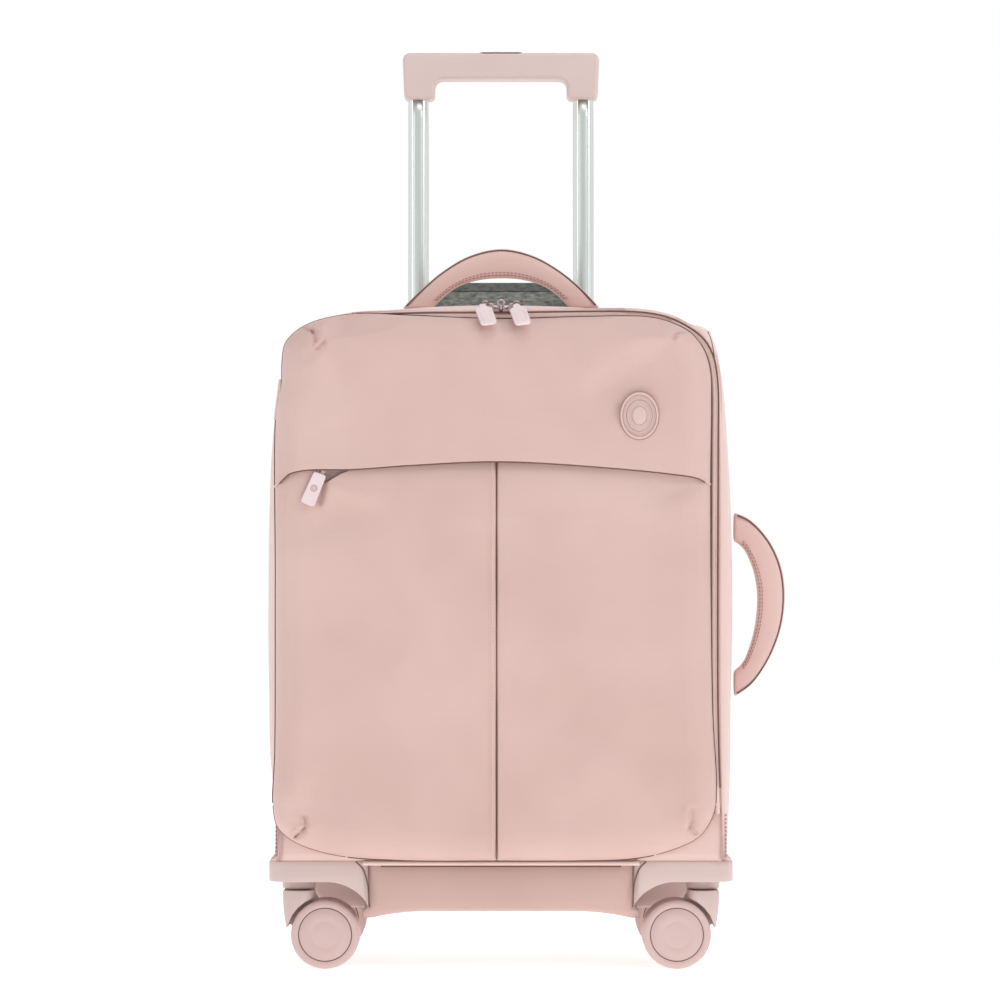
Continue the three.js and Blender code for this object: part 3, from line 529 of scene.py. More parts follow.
def patch(bottom, top, left, right):
    """A grid that fills four edges; left and right run upwards, bottom and top from left to right."""
    m, n = len(bottom), len(left)
    u, v = np.linspace(0, 1, m)[None, :, None], np.linspace(0, 1, n)[:, None, None]
    ruled = (1 - v) * bottom[None] + v * top[None] + (1 - u) * left[:, None] + u * right[:, None]
    corner = ((1 - u) * (1 - v) * bottom[0] + u * (1 - v) * bottom[-1]
              + (1 - u) * v * top[0] + u * v * top[-1])
    return ruled - corner


def eased(curve, share=0.55):
    """The same curve with its points gathered towards both ends."""
    n = len(curve)
    s = np.linspace(0, 1, n)
    at = (1 - share) * s + share * (0.5 - 0.5 * np.cos(pi * s))
    return np.stack([np.interp(at, s, curve[:, i]) for i in range(curve.shape[1])], 1)


# ---- case body
def case_profile():
    """Rows of the shell from the mouth, over the front rim, across the gusset and round the back edge."""
    rows = []
    for share, y in ((-0.12, -100.4), (-0.02, -101.6), (0, -103.0), (0.07, -104.2), (0.2, -104.4),
                     (0.38, -103.7), (0.56, -101.8), (0.72, -98.8), (0.86, -94.6), (0.95, -89.8)):
        flat = MOUTH_EDGE * (1 - share) + case_ring(-83, 0) * share
        rows.append(at_depth(flat, y))
    depths = [-83, -76, -68, -60, -52, -44, -36, -28, -20, -12, -4, 4, 12, 20, 28, 36, 44, 52, BEZEL_NEAR,
              68, 76, 84, 88, BEZEL_FAR]
    rows += [at_depth(case_ring(y, 0), y) for y in depths]
    for y, inset in ((95.4, 1.3), (98.0, 3.4), (99.5, 6.6), (99.9, 9.6)):
        rows.append(at_depth(case_ring(y, inset), y))
    return np.array(rows)


def case_shell():
    points, faces = grid(case_profile())
    centre = points[np.array(faces)].mean(1)
    inside = ((abs(centre[:, 0]) < BEZEL_HALF) & (centre[:, 1] > BEZEL_NEAR) & (centre[:, 1] < BEZEL_FAR)
              & (centre[:, 2] > 450))
    faces = [f for f, cut in zip(faces, inside) if not cut]
    panels = ("left_side_panel", "right_side_panel", "top_panel", "front_rim")
    piece("case_shell", (points, faces), "case", BODY_CLOTH, skin=2.5, instead_of=panels)


def back_cover():
    edge = case_ring(99.9, 9.0)
    low = np.argmin(abs(edge[: len(edge) // 2, 1] - 84.5)), len(edge) - 1 - np.argmin(
        abs(edge[::-1][: len(edge) // 2, 1] - 84.5))
    edge = edge[low[0] : low[1] + 1]
    a, b = len(edge) * 36 // 100, len(edge) * 64 // 100
    left, top, right = edge[: a + 1], edge[a : b + 1], edge[b:][::-1]
    bottom = np.linspace(left[0], right[0], 97)
    flat = patch(bottom, resample(top, 97), resample(left, 121), resample(right, 121))
    x, z = flat[..., 0], flat[..., 1]
    channel = sum(np.exp(-(((x - s * 67) / 15) ** 4)) for s in (-1, 1)) * np.clip((z - 96) / 20, 0, 1)
    border = np.clip(np.minimum.reduce([170 - abs(x), 508 - z, z - 90]) / 16, 0, 1)
    y = 99.4 + 0.9 * border + 1.3 * channel * border + 0.25 * np.sin(x / 17 + z / 29)
    piece("back_cover", grid(xyz(x, y, z)), "case", BODY_CLOTH, skin=2.5, instead_of=("back_panel",))
    lines = [xyz(s * 67 + t * 17, 100.6, np.linspace(100, 486, 60)) for s in (-1, 1) for t in (-1, 1)]
    thread = merged([stitches(line, 3.4, 0.4, up=(0, 1, 0)) for line in lines])
    piece("back_stitching", thread, "case", THREAD_AND_PAINTED_SHADE)


def body_trim():
    """Piping round the back edge and down the front, and painted shadow lines where panels meet."""
    back = at_depth(case_ring(96.5, 0.6), 98.4)
    ends = slice(2, -2)
    piece("back_piping", tube(back[ends], 1.9, 8, up=(0, 1, 0)), "case", PIPING_CLOTH)
    near = at_depth(case_ring(94, -0.2), 94.6)
    piece("back_shadow_line", tube(near[ends], 0.45, 6), "case", SEAM_SHADE)
    mouth = at_depth(MOUTH_EDGE - normals_2d(MOUTH_EDGE) * 0.3, -107.0)
    piece("mouth_shadow_line", tube(mouth[14:-14], 0.6, 6), "case", SEAM_SHADE)
    for label, side in SIDES:
        path = corner_path(side)
        piece(f"gusset_shadow_line_{label}", tube(path, 0.42, 6, up=(side, 0, 1)), "case", SEAM_SHADE)
        rib = path[8:] + np.array([side * 0.7, 0, -1.0])
        piece(f"gusset_rib_{label}", tube(rib, 0.8, 8, up=(side, 0, 1)), "case", PIPING_CLOTH)
        low = np.array([(side * 172, -103.6, z) for z in np.linspace(120, 86, 12)])
        piece(f"hinge_stitching_{label}", stitches(low, 3.0, 0.55), "case", THREAD_AND_PAINTED_SHADE)


def zip_end_tab():
    """Folded end of the zip tape, which looks out past the lid at the left."""
    tab = rounded([(-174.2, 421, 1), (-169.6, 421, 1), (-168.2, 452, 1), (-170.2, 453, 1)])
    piece("zip_end_tab", plate(tab, -106.4, -104.2), "case", PIPING_CLOTH, bevel=0.6)


def corner_path(side):
    """The seam at a top corner, back along the gusset from a point lower down the mouth."""
    rows = case_profile()
    column = int(np.argmin(np.linalg.norm(CASE_EDGE - np.array([side * 164, 494.0]), axis=1)))
    path = []
    for i in range(3, len(rows) - 3):
        at = column + side * 4.0 * np.clip((10 - i) / 7, 0, 1)
        low = int(at)
        path.append(rows[i, low] * (1 - at + low) + rows[i, low + 1] * (at - low))
    return np.array(path) + np.array([side * 0.1, 0, 0.1])


def front_apron():
    """The strip of cloth below the mouth that the lid hinges on."""
    x = np.linspace(-171, 171, 60)
    rows = [xyz(x, -101.4 - 0.6 * sin(pi * f), z)
            for f, z in zip(np.linspace(0, 1, 9), np.linspace(84, 134, 9))]
    piece("front_apron", grid(rows), "case", BODY_CLOTH, skin=1.6)


def base_cover():
    """The flat underside, and the padded belly between the casters."""
    xs = np.linspace(-176, 176, 60)
    rows = [xyz(xs, y, 84.0) for y in np.linspace(-101, 98, 30)]
    piece("base_board", grid(rows), "case", BODY_CLOTH, skin=2)
    rows = []
    for lift, inset in ((86, 1.5), (80, 0.2), (70, 0), (60, 0.3), (53, 1.2), (48.5, 2.6), (46.4, 4.2),
                        (45.4, 6.5), (44.2, 11), (43.8, 20), (43.7, 40), (43.7, 60), (43.7, 80)):
        wing = 5.2 * np.clip((47.5 - lift) / 1.5, 0, 1)
        half, deep = BELLY_HALF + wing, 99 - inset
        ring = even_loop(oblong(-half, -deep, half, deep, max(4 - inset * 0.1, 1.5)), 8, 160)
        dip = 5.0 * np.clip((abs(ring[:, 0]) - 58) / 42, 0, 1) ** 2 * np.clip((47 - lift) / 2.5, 0, 1)
        rows.append(xyz(ring[:, 0], ring[:, 1], lift - dip))
    points, faces = grid(rows, True, (0, 0, 70))
    faces.append(tuple((len(rows) - 1) * len(ring) + j for j in range(len(ring))))
    outward(piece("belly_cover", (points, faces), "case", BELLY_SHADED_CLOTH, instead_of=("base_tray",)))


def bottom_piping():
    """The cord along the foot of the front, between the lid and the belly, and a painted shadow line under it.
    """
    x = np.linspace(-168, 168, 120)
    lift = 1.2 * np.clip((abs(x) - 95) / 70, 0, 1) ** 2
    cord = xyz(x, -103.4, 82.2 + lift)
    piece("bottom_piping", tube(cord[22:-22], 1.9, 8), "case", PIPING_CLOTH)
    shade = xyz(x, -103.2, 79.7)
    piece("bottom_shadow_line", tube(shade[27:-27], 0.6, 6), "case", SEAM_SHADE)


# ---- inside of the case
def lining_shell():
    """Cloth lining: walls that follow the shell, a back wall, and a floor with the well in it."""
    rows = [at_depth(MOUTH_EDGE * 0.995 + 0.9, -99.6)]
    for y, inset in ((-97, 5.2), (-90, 5.2), (-70, 5.4), (-45, 5.6), (-20, 5.6), (5, 5.6), (30, 5.6),
                     (50, 5.8), (56, 7.5), (58, 11)):
        rows.append(at_depth(case_ring(y, inset), y))
    rows = np.array(rows)
    rows[..., 2] = np.maximum(rows[..., 2], 90.5)
    points, faces = grid(rows)
    wall = (points, [f[::-1] for f in faces])
    piece("lining_walls", wall, "case", LINING_CLOTH, skin=1.0, instead_of=("lining",))
    ring = rows[-1][:, [0, 2]]
    low = ring[ring[:, 1] > 91]
    a, b = len(low) * 36 // 100, len(low) * 64 // 100
    left, top, right = low[: a + 1], low[a : b + 1], low[b:][::-1]
    edges = (resample(edge, 61) for edge in (top, left, right))
    flat = patch(np.linspace(left[0], right[0], 61), *edges)
    x, z = flat[..., 0], flat[..., 1]
    y = 58 + 0.5 * np.sin(x / 23) * np.sin(z / 37)
    back = grid(xyz(x, y, z), away=(0, 99, 300))
    piece("lining_back", back, "case", LINING_CLOTH, skin=1.0)
    xs, ys = np.linspace(-172, 172, 90), np.linspace(-100, 58.5, 48)
    gx, gy = np.meshgrid(xs, ys)
    well = np.clip((95 - abs(gx)) / 5, 0, 1) * np.clip((97 + gy) / 5, 0, 1) * np.clip((57 - gy) / 5, 0, 1)
    gz = 91.2 - 40.5 * well + 0.4 * np.sin(gx / 13) * np.sin(gy / 19)
    floor = grid(xyz(gx, gy, gz), away=(0, 0, -400))
    piece("lining_floor", floor, "case", LINING_CLOTH, skin=1.0)


def mouth_hoop():
    """Spring-steel hoop in its sleeve, just inside the mouth."""
    ring = case_ring(-92, 9.5)
    hoop = tube(at_depth(ring[ring[:, 1] > 96], -93), 3.0, 8, wide=0.6)
    piece("mouth_hoop", hoop, "case", LINING_CLOTH, instead_of=("frame_hoop",))


def packing_straps():
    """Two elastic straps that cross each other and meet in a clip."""
    ends = [(-150, 50, 130), (150, 50, 470)], [(-150, 50, 470), (150, 50, 130)]
    shapes = []
    for k, (a, b) in enumerate(ends):
        t = np.linspace(0, 1, 40)[:, None]
        line = np.array(a) * (1 - t) + np.array(b) * t
        line[:, 1] = 55.6 - 3.2 * k * np.exp(-(((t[:, 0] - 0.5) / 0.12) ** 2)) - 0.6
        shapes.append(tube(line, 0.8, 8, wide=16))
    strap = piece("packing_straps", merged(shapes), "case", TAPE_CLOTH)
    finer(strap)
    clip = rounded(oblong(-16, 288, 16, 312, 4))
    piece("strap_clip", plate(clip, 45.5, 51), "case", PULL_PLASTIC, bevel=1.4)


# ---- zip between case and lid
def inner_mouth(offset):
    """The mouth's edge drawn in, cut off where the zip stops."""
    curve = MOUTH_EDGE - normals_2d(MOUTH_EDGE) * offset
    return curve[curve[:, 1] > 122]


def zip_bands():
    across = {"case": ((-1.6, -102.4), (-0.9, -103.0), (0.6, -103.5), (1.7, -103.2), (2.1, -102.2)),
              "lid": ((2.4, -102.2), (2.8, -103.2), (4.2, -103.6), (6.4, -103.4), (9.5, -103.0))}
    for name, edges in across.items():
        rows = [at_depth(inner_mouth(e), y) for e, y in edges]
        count = min(map(len, rows))
        rows = [resample(r, count) for r in rows]
        piece(f"zip_band_{name}", grid(rows), name, TAPE_CLOTH, skin=0.9,
              instead_of=(f"zip_tape_{name}",))
    path = at_depth(inner_mouth(2.3), -101.4)
    total = np.linalg.norm(np.diff(path, axis=0), axis=1).sum()
    path = resample(path, int(total / 1.5))
    nrm = normals_2d(path[:, [0, 2]])
    for name, side in (("case", 1), ("lid", -1)):
        shapes = []
        for i in range(0 if side > 0 else 1, len(path), 2):
            out = np.array([nrm[i, 0], 0, nrm[i, 1]]) * side
            shapes.append(tube([path[i] + out * f for f in (-0.9, -0.3, 1.2, 1.9)],
                               np.array([0.6, 0.85, 0.7, 0.4]), 5))
        piece(f"zip_coil_{name}", merged(shapes), name, PIPING_CLOTH)


# ---- lid
HEM = spline([(-169.5, 371), (-167.5, 376.5), (-161, 380.8), (-148, 383.6), (-113, 384.2), (-66.8, 387.4),
              (-0.8, 390.1), (75, 385.9), (130, 380.6), (150, 377.4), (158.2, 373.5)], 161)
SEAM_X = -3.4


def dome(distance, reach):
    t = np.clip(distance / reach, 0, 1)
    return np.sqrt(np.clip(1 - (1 - t) ** 2, 0, 1))


def fold(points, a, b, width, depth, lean=0.0):
    """Relief of a crease from a to b that fades at its ends; lean tips one side of it up."""
    p, a, b = points, np.array(a, float), np.array(b, float)
    d = b - a
    length = np.linalg.norm(d)
    along = ((p - a) @ d) / length
    across = (p - a) @ np.array([-d[1], d[0]]) / length
    fade = (np.clip((along + width) / (2 * width), 0, 1)
            * np.clip((length + width - along) / (2 * width), 0, 1))
    groove = np.exp(-((across / width) ** 2))
    tip = lean * across / width * np.exp(-((across / width / 2.2) ** 2))
    return -fade * (depth * groove - tip)


def cloth_relief(p):
    """Slow unevenness of cloth over foam."""
    x, z = p[:, 0], p[:, 1]
    return (0.95 * np.sin(x / 37 + 1.3) * np.sin(z / 46 + 0.4) + 0.5 * np.sin(x / 21 - z / 33 + 2)
            + 0.2 * np.sin(x / 11 + z / 17))


def lid_grid(flat, front, reach, folds, base=-106.0, calm=None):
    """Gives a flat XZ grid its depth: curved over at the lid's edge, with folds and slow relief."""
    n, m = flat.shape[:2]
    p = flat.reshape(-1, 2)
    d = edge_distance(p)
    rise = (-front + base) * dome(d, reach)
    settled = np.clip(d / 14, 0, 1)
    relief = cloth_relief(p) * settled
    for a, b, width, depth, lean in folds:
        relief += fold(p, a, b, width, depth, lean) * np.clip(d / 4, 0.15, 1)
    if calm is not None:
        relief = np.minimum(relief, 0.15 + 2.5 * np.clip((calm - p[:, 1]) / 20, 0, 1))
    y = base - rise - relief
    return at_depth(p, y).reshape(n, m, 3)


FLAP_FOLDS = [((-160, 491), (-151, 492.5), 1.3, 3.4, 1.6), ((-152, 492.5), (-143, 488), 1.3, 3.6, 1.8),
              ((-144, 489), (-142, 478), 1.5, 3.2, -2.0), ((-141, 474), (-134.5, 481), 1.3, 2.4, 1.6),
              ((-142, 474), (-148, 466), 5.0, 2.0, 1.0), ((-136, 478), (-120, 452), 8.0, 1.6, -1.6),
              ((148.5, 490), (134, 485.5), 1.1, 3.2, 1.5), ((134, 485.5), (131, 481.5), 1.4, 2.6, 1.2),
              ((131, 482), (72, 440), 11.0, 3.5, -4.2), ((44, 488), (10, 474), 14, 0.8, 0.6),
              ((-150, 392), (-112, 412), 14, 1.4, 1.1), ((60, 452), (-20, 420), 30, 1.0, -0.8)]
POCKET_FOLDS = [((-161, 99.5), (-149, 111), 1.2, 4.2, 2.6), ((-149, 111), (-150.8, 120), 1.5, 3.2, 1.8),
                ((-150, 119), (-142, 150), 9, 2.2, 1.6), ((-157, 108), (-160, 130), 7, 2.2, 0),
                ((-164.6, 128), (-164.6, 362), 1.3, -0.8, 0),
                ((152, 102), (143.5, 112.5), 1.3, 3.6, -2.2), ((143.5, 112), (144.5, 126), 2.2, 2.4, 1.2),
                ((142, 122), (122, 190), 13, 1.8, -1.4), ((-120, 352), (-150, 330), 12, 1.6, 1.2),
                ((-134, 376), (-138.5, 356), 2.6, 3.2, 1.4), ((-128, 372), (-96, 360), 9, -2.2, 1.6),
                ((-8, 330), (-60, 200), 24, 1.2, 0.8), ((150, 370), (112, 360), 8, 1.2, 0.6),
                ((20, 120), (110, 140), 16, 1.0, 0.5)]
LOW_LEFT, LOW_RIGHT = np.array((-161, 99.5)), np.array((152, 102))
HIGH_LEFT, HIGH_RIGHT = np.array((-155.5, 490.5)), np.array((147.5, 486))


def pocket_half(label):
    """One half of the lower pocket, from the lid's edge to the centre seam."""
    droop = np.interp(HEM[:, 0], [-145, -139, -134.5, -130, -122, -112, -100],
                      [0, 13, 19, 16.5, 11.5, 7.5, 0])
    mouth = HEM + xyz(0, 0, 7.0 - droop)[:, 1:]
    seam_low, seam_high = np.array((SEAM_X, 84.4)), [[SEAM_X, 397]]
    if label == "left":
        bottom = between(LID_EDGE[::-1], LOW_LEFT, seam_low, 120)
        outer = between(LID_EDGE, LOW_LEFT, (-172.2, 378), 210)
        mouth = mouth[(mouth[:, 0] > -162) & (mouth[:, 0] < SEAM_X)]
        top = resample(np.vstack([outer[-1:], mouth, seam_high]), 120)
        left, right = outer, np.linspace(bottom[-1], top[-1], 210)
    else:
        bottom = between(LID_EDGE[::-1], seam_low, LOW_RIGHT, 120)
        outer = between(LID_EDGE[::-1], LOW_RIGHT, (159.2, 378), 210)
        mouth = mouth[(mouth[:, 0] < 150) & (mouth[:, 0] > SEAM_X)]
        top = resample(np.vstack([seam_high, mouth, outer[-1:]]), 120)
        left, right = np.linspace(bottom[0], top[0], 210), outer
    flat = patch(eased(bottom), eased(top), eased(left), eased(right))
    rows = lid_grid(flat, -124.5, 24, POCKET_FOLDS, calm=350)
    gap = abs(rows[..., 0] - SEAM_X)
    tuck = np.exp(-((gap / 0.8) ** 2)) * 2.4
    ridge = 0.9 * np.exp(-(((gap - 3.6) / 2.0) ** 2)) * (1 if label == "left" else 0.35)
    rows[..., 1] += tuck - ridge
    sunk = np.clip((rows[..., 2] - 372) / 20, 0, 1)
    rows[..., 1] += 3.0 * sunk**2 * np.clip((1 - gap / 140), 0, 1)
    return rows


def pocket():
    for label in ("left", "right"):
        replaced = ("pocket_panel",) if label == "left" else ()
        piece(f"pocket_{label}", grid(pocket_half(label)), "lid", POCKET_SHADED_CLOTH, skin=1.4,
              instead_of=replaced)
    z = np.linspace(86, 388, 120)
    y = -106 - 18.5 * dome(z - 82.2, 24) + 1.5
    seam = xyz(SEAM_X, y, z)
    # a painted shadow line laid in the centre seam's tuck
    piece("pocket_centre_shadow_line", tube(seam, 0.42, 6), "lid", SEAM_SHADE)
    row = seam + np.array([-3.0, -2.9, 0])
    piece("pocket_stitching", stitches(row[2:], 2.6, 0.22), "lid", PIPING_CLOTH)


def pocket_zip():
    """Zip tape under the flap's hem."""
    x = np.linspace(-150, 146, 100)
    z = np.interp(x, HEM[:, 0], HEM[:, 1]) + 8
    rows = [xyz(x, -119.8 + d, z + h)
            for h, d in ((-27, 0.5), (-18, 0.3), (-9, 0.4), (-4, 0), (0, 0.2), (4, 0), (9, 0.4))]
    piece("pocket_zip_band", grid(rows), "lid", TAPE_CLOTH, skin=0.8, instead_of=("pocket_zip",))


PULLER_ARC_RADIUS, PULLER_ARC_DROP, PULLER_LEAN = 688.0, 180, 50


def flap_rows():
    left = between(LID_EDGE, (-172.6, 371), HIGH_LEFT, 150)
    top = between(LID_EDGE, HIGH_LEFT, HIGH_RIGHT, 250)
    right = between(LID_EDGE[::-1], (158.4, 373), HIGH_RIGHT, 150)
    hem = resample(np.vstack([left[:1], HEM[6:-3], right[:1]]), 250)
    flat = patch(eased(hem), eased(top), eased(left), eased(right))
    rows = lid_grid(flat, -129.0, 24, FLAP_FOLDS)
    # room for the two main pullers, which hang over the flap's top edge and run along the arch
    x, z = rows[..., 0], rows[..., 2]
    pivot = np.sqrt(PULLER_ARC_RADIUS**2 - np.clip(x, -140, 140) ** 2) - PULLER_ARC_DROP
    behind_puller = -111.2 - np.clip(pivot - z, 0, None) * np.tan(radians(PULLER_LEAN))
    share = np.clip((136 - abs(x)) / 14, 0, 1)
    rows[..., 1] += np.clip(behind_puller - rows[..., 1], 0, None) * share
    # the hem stands clear of the pocket's puller all along its run
    near_hem = np.clip((430 - z) / 26, 0, 1) * np.clip((162 - abs(x + 5)) / 24, 0, 1)
    near_hem = near_hem**2 * (3 - 2 * near_hem)
    rows[..., 1] -= np.clip(rows[..., 1] + 129.2, 0, 2.4) * near_hem
    return rows


def flap():
    rows = flap_rows()
    hem = rows[0].copy()
    turn_in = []
    for drop, back in ((1.2, 0.4), (1.4, 0.8), (0.4, 1.0), (-3.2, 1.1)):
        lower = drop if drop > 0 else drop * np.clip((150 - abs(hem[:, 0] + 5)) / 12, 0, 1)
        turn_in.append(hem + xyz(0, back, -lower))
    rows = np.concatenate([np.array(turn_in[::-1]), rows])
    piece("pocket_flap_cloth", grid(rows), "lid", FLAP_SHADED_CLOTH, skin=0.9, instead_of=("pocket_flap",))
    shade = hem + np.array([0, 0.7, -1.8])
    piece("hem_shade", tube(shade[8:-8], 0.5, 6), "lid", SEAM_SHADE)


def lid_trim():
    """Piping round the lid, with a painted shadow line just outside the lid's edge."""
    cord = MOUTH_EDGE - normals_2d(MOUTH_EDGE) * 3.1
    cord = at_depth(cord[cord[:, 1] > 118], -104.1)
    piece("lid_piping", tube(cord, 2.15, 10), "lid", PIPING_CLOTH)
    line = at_depth(LID_EDGE - LID_INWARD * 0.25, -105.9)
    x, z = LID_EDGE[:, 0], LID_EDGE[:, 1]
    # stretches where the painted shadow line is dark; elsewhere it is softer and thinner
    dark = ((x < -160) & (z > 128) & (z < 428)) | ((x > -112) & (z > 300)) | ((x > 0) & (z > 128)) | (
        (abs(x) < 118) & (z < 128))
    for name, material, keep, radius in (("dark", SEAM_SHADE, dark, 0.5), ("soft", THREAD_AND_PAINTED_SHADE, ~dark, 0.35)):
        runs = [tube(line[run], radius, 6) for run in stretches(keep)]
        piece(f"lid_edge_shadow_{name}", merged(runs), "lid", material)


def stretches(keep):
    """Runs of neighbouring indices round a closed outline where keep holds."""
    n = len(keep)
    starts = [i for i in range(n) if keep[i] and not keep[i - 1]]
    runs = []
    for i in starts:
        run = [i]
        while keep[(run[-1] + 1) % n] and len(run) < n:
            run.append((run[-1] + 1) % n)
        if len(run) > 3:
            runs.append(np.array(run))
    return runs


def lid_back():
    """Stiff board of the lid in its lining, with the piped outline and zip of a pocket."""
    rows = [at_depth(LID_EDGE + LID_INWARD * inset, y)
            for inset, y in ((0.3, -106.6), (0.6, -104.0), (3.2, -102.4), (7.0, -101.5), (11.0, -101.2))]
    for share in (0.3, 0.55, 0.75, 0.9, 0.995):
        rows.append(rows[4] + (np.array([-6.0, -101.2, 290.0]) - rows[4]) * share)
    outward(piece("lid_board_cover", grid(rows, True, (0, -125, 290)), "lid", LINING_CLOTH,
                  instead_of=("lid_board",)))
    closed = even_loop([(-120, 120, 20), (120, 120, 20), (120, 330, 12), (-120, 330, 12)], 8, 160)
    piece("inner_pocket_piping", tube(at_depth(closed, -100.4), 1.4, 8, closed=True, up=(0, 1, 0)), "lid",
          PIPING_CLOTH)
    zipper = xyz(np.linspace(-112, 112, 90), -99.9, 322)
    piece("inner_pocket_zip", tube(zipper, 0.8, 6, wide=4.0, up=(0, 1, 0)), "lid", TAPE_CLOTH)


def badge():
    """Oval moulded badge with a rope ring, a plain ring and a smooth boss."""
    cx, cz, tall, surface = 105.2, 423.4, 1.235, -129.0
    rows = [circle(cx, cz, r, surface + y, 72, tall)
            for r, y in ((14.6, 1.5), (14.6, -0.5), (14.1, -1.0), (12.9, -1.0), (12.6, -0.7), (10.0, -0.7),
                         (9.6, -1.0), (5.6, -1.0), (5.2, -1.5), (3.8, -2.0), (2.0, -2.2), (0.05, -2.25))]
    piece("badge_disc", grid(rows, True, (cx, 0, cz)), "lid", BADGE_PLASTIC,
          instead_of=("badge",))

    def rings(sides, *sizes):
        return merged([tube(circle(cx, cz, r, surface + y, 72, tall), thickness, sides, closed=True)
                       for r, y, thickness in sizes])

    beads = [tube([(cx + 11.3 * cos(t), surface - 0.9, cz + 14.0 * sin(t)),
                   (cx + 11.7 * cos(t + 0.09), surface - 0.95, cz + 14.4 * sin(t + 0.09))], 0.34, 6)
             for t in np.linspace(0, 2 * pi, 44, endpoint=False)]
    relief = rings(8, (9.0, -1.1, 0.4), (7.2, -1.05, 0.3))
    piece("badge_relief", relief, "lid", BADGE_PLASTIC)
    piece("badge_rope", merged(beads), "lid", BADGE_PLASTIC)
    # painted shadow lines at the foot of the badge's steps and round its edge
    lines = rings(6, (14.75, -0.35, 0.28), (12.75, -0.95, 0.18), (9.75, -0.95, 0.18), (5.7, -1.05, 0.15))
    piece("badge_step_shadows", lines, "lid", THREAD_AND_PAINTED_SHADE)


# ---- zip sliders and pullers
def slider_shape(width, height, depth):
    body = rounded([(-width / 2, -height / 2, 1.6), (width / 2, -height / 2, 1.6),
                    (width * 0.42, height / 2, 1.6), (-width * 0.42, height / 2, 1.6)], 5)
    return plate(body, -depth, 0)


def puller_shape(length, width, thickness, neck=5.4):
    outline = rounded([(-neck / 2, 0, 1.4), (-neck / 2, -3.5, 0.8), (-width / 2 - 0.2, -6, 1.6),
                       (-width / 2, -length, 3.2), (width / 2, -length, 3.2), (width / 2 + 0.2, -6, 1.6),
                       (neck / 2, -3.5, 0.8), (neck / 2, 0, 1.4)], 5)
    return plate(outline, -thickness, 0)


def main_zip_pulls():
    for label, side in SIDES:
        slider, puller = f"zip_slider_{label}", f"zip_puller_{label}"
        low, high = cad_box(slider)
        centre = (low + high) / 2
        slide = Matrix.Translation(Vector((centre[0] - side * 3.5, high[1] + 0.2, centre[2] - 2.0)))
        piece(f"main_slider_{label}", moved(slider_shape(9, 7.4, 4.4), slide), slider, STEEL,
              bevel=0.9, instead_of=(slider,))
        bail = [(centre[0] - side * (3.5 - 5.2 * f), low[1] + 0.4 - 2.6 * sin(pi * f),
                 509.6 + 2.2 * sin(pi * f)) for f in np.linspace(0, 1, 12)]
        piece(f"main_bail_{label}", tube(bail, 0.85, 6, up=(0, 0, 1)), slider, STEEL)
        pivot = Vector((side * 13 - 1.6, -111.8, 507.9))
        hang = (Matrix.Translation(pivot) @ Matrix.Rotation(radians(-PULLER_LEAN), 4, "X")
                @ Matrix.Rotation(radians(-13), 4, "Y"))
        piece(f"main_puller_{label}", moved(puller_shape(25.5, 12.4, 2.6), hang), puller, PULL_PLASTIC,
              bevel=0.7, instead_of=(puller,))
        rim = at_depth(even_loop(oblong(-3.9, -22.6, 3.9, -10, 2), 5, 60), -2.65)
        piece(f"main_puller_rim_{label}", moved(tube(rim, 0.3, 6, closed=True), hang), puller, PULL_PLASTIC)


def lock_loop():
    """Round loop between the sliders that a padlock goes through."""
    shapes = [tube(circle(0, 510.6, 2.3, -108.2, 24), 1.0, 8, closed=True),
              tube([(0, -107.8, 508.0), (0, -107.4, 506.0), (0, -105.0, 504.6)], 1.5, 6, up=(1, 0, 0)),
              tube([(-8, -106.2, 507.4), (0, -107.2, 506.6), (8, -106.2, 507.4)], 1.0, 6)]
    piece("lock_loop", merged(shapes), "case", STEEL)


def pocket_zip_pull():
    low, high = cad_box("pocket_zip_slider")
    centre = (low + high) / 2
    slide = Matrix.Translation(Vector((centre[0], high[1], centre[2])))
    piece("pocket_slider_body", moved(slider_shape(8.6, 7, 4.6), slide), "pocket_slider", STEEL,
          bevel=0.9, instead_of=("pocket_zip_slider",))
    hang = Matrix.Translation(Vector((-130.5, -124.9, 396))) @ Matrix.Rotation(radians(23), 4, "Y")
    piece("pocket_pull_strap", moved(puller_shape(20, 5.6, 1.2, 4.0), hang), "pocket_puller", TAPE_CLOTH,
          bevel=0.3)
    lower = rounded([(-5.0, -17.6, 2.2), (-5.6, -43.6, 2.6), (5.6, -43.6, 2.6), (5.0, -17.6, 2.2)], 6)
    piece("pocket_pull_tab", moved(plate(lower, -2.4, -0.2), hang), "pocket_puller", PULL_PLASTIC,
          bevel=0.7, instead_of=("pocket_zip_puller",))
    mark = [tube(circle(0, -30, r, -2.4, 24), thickness, 6, closed=True)
            for r, thickness in ((2.4, 0.25), (1.2, 0.2))]
    piece("pocket_pull_mark", moved(merged(mark), hang), "pocket_puller", THREAD_AND_PAINTED_SHADE)


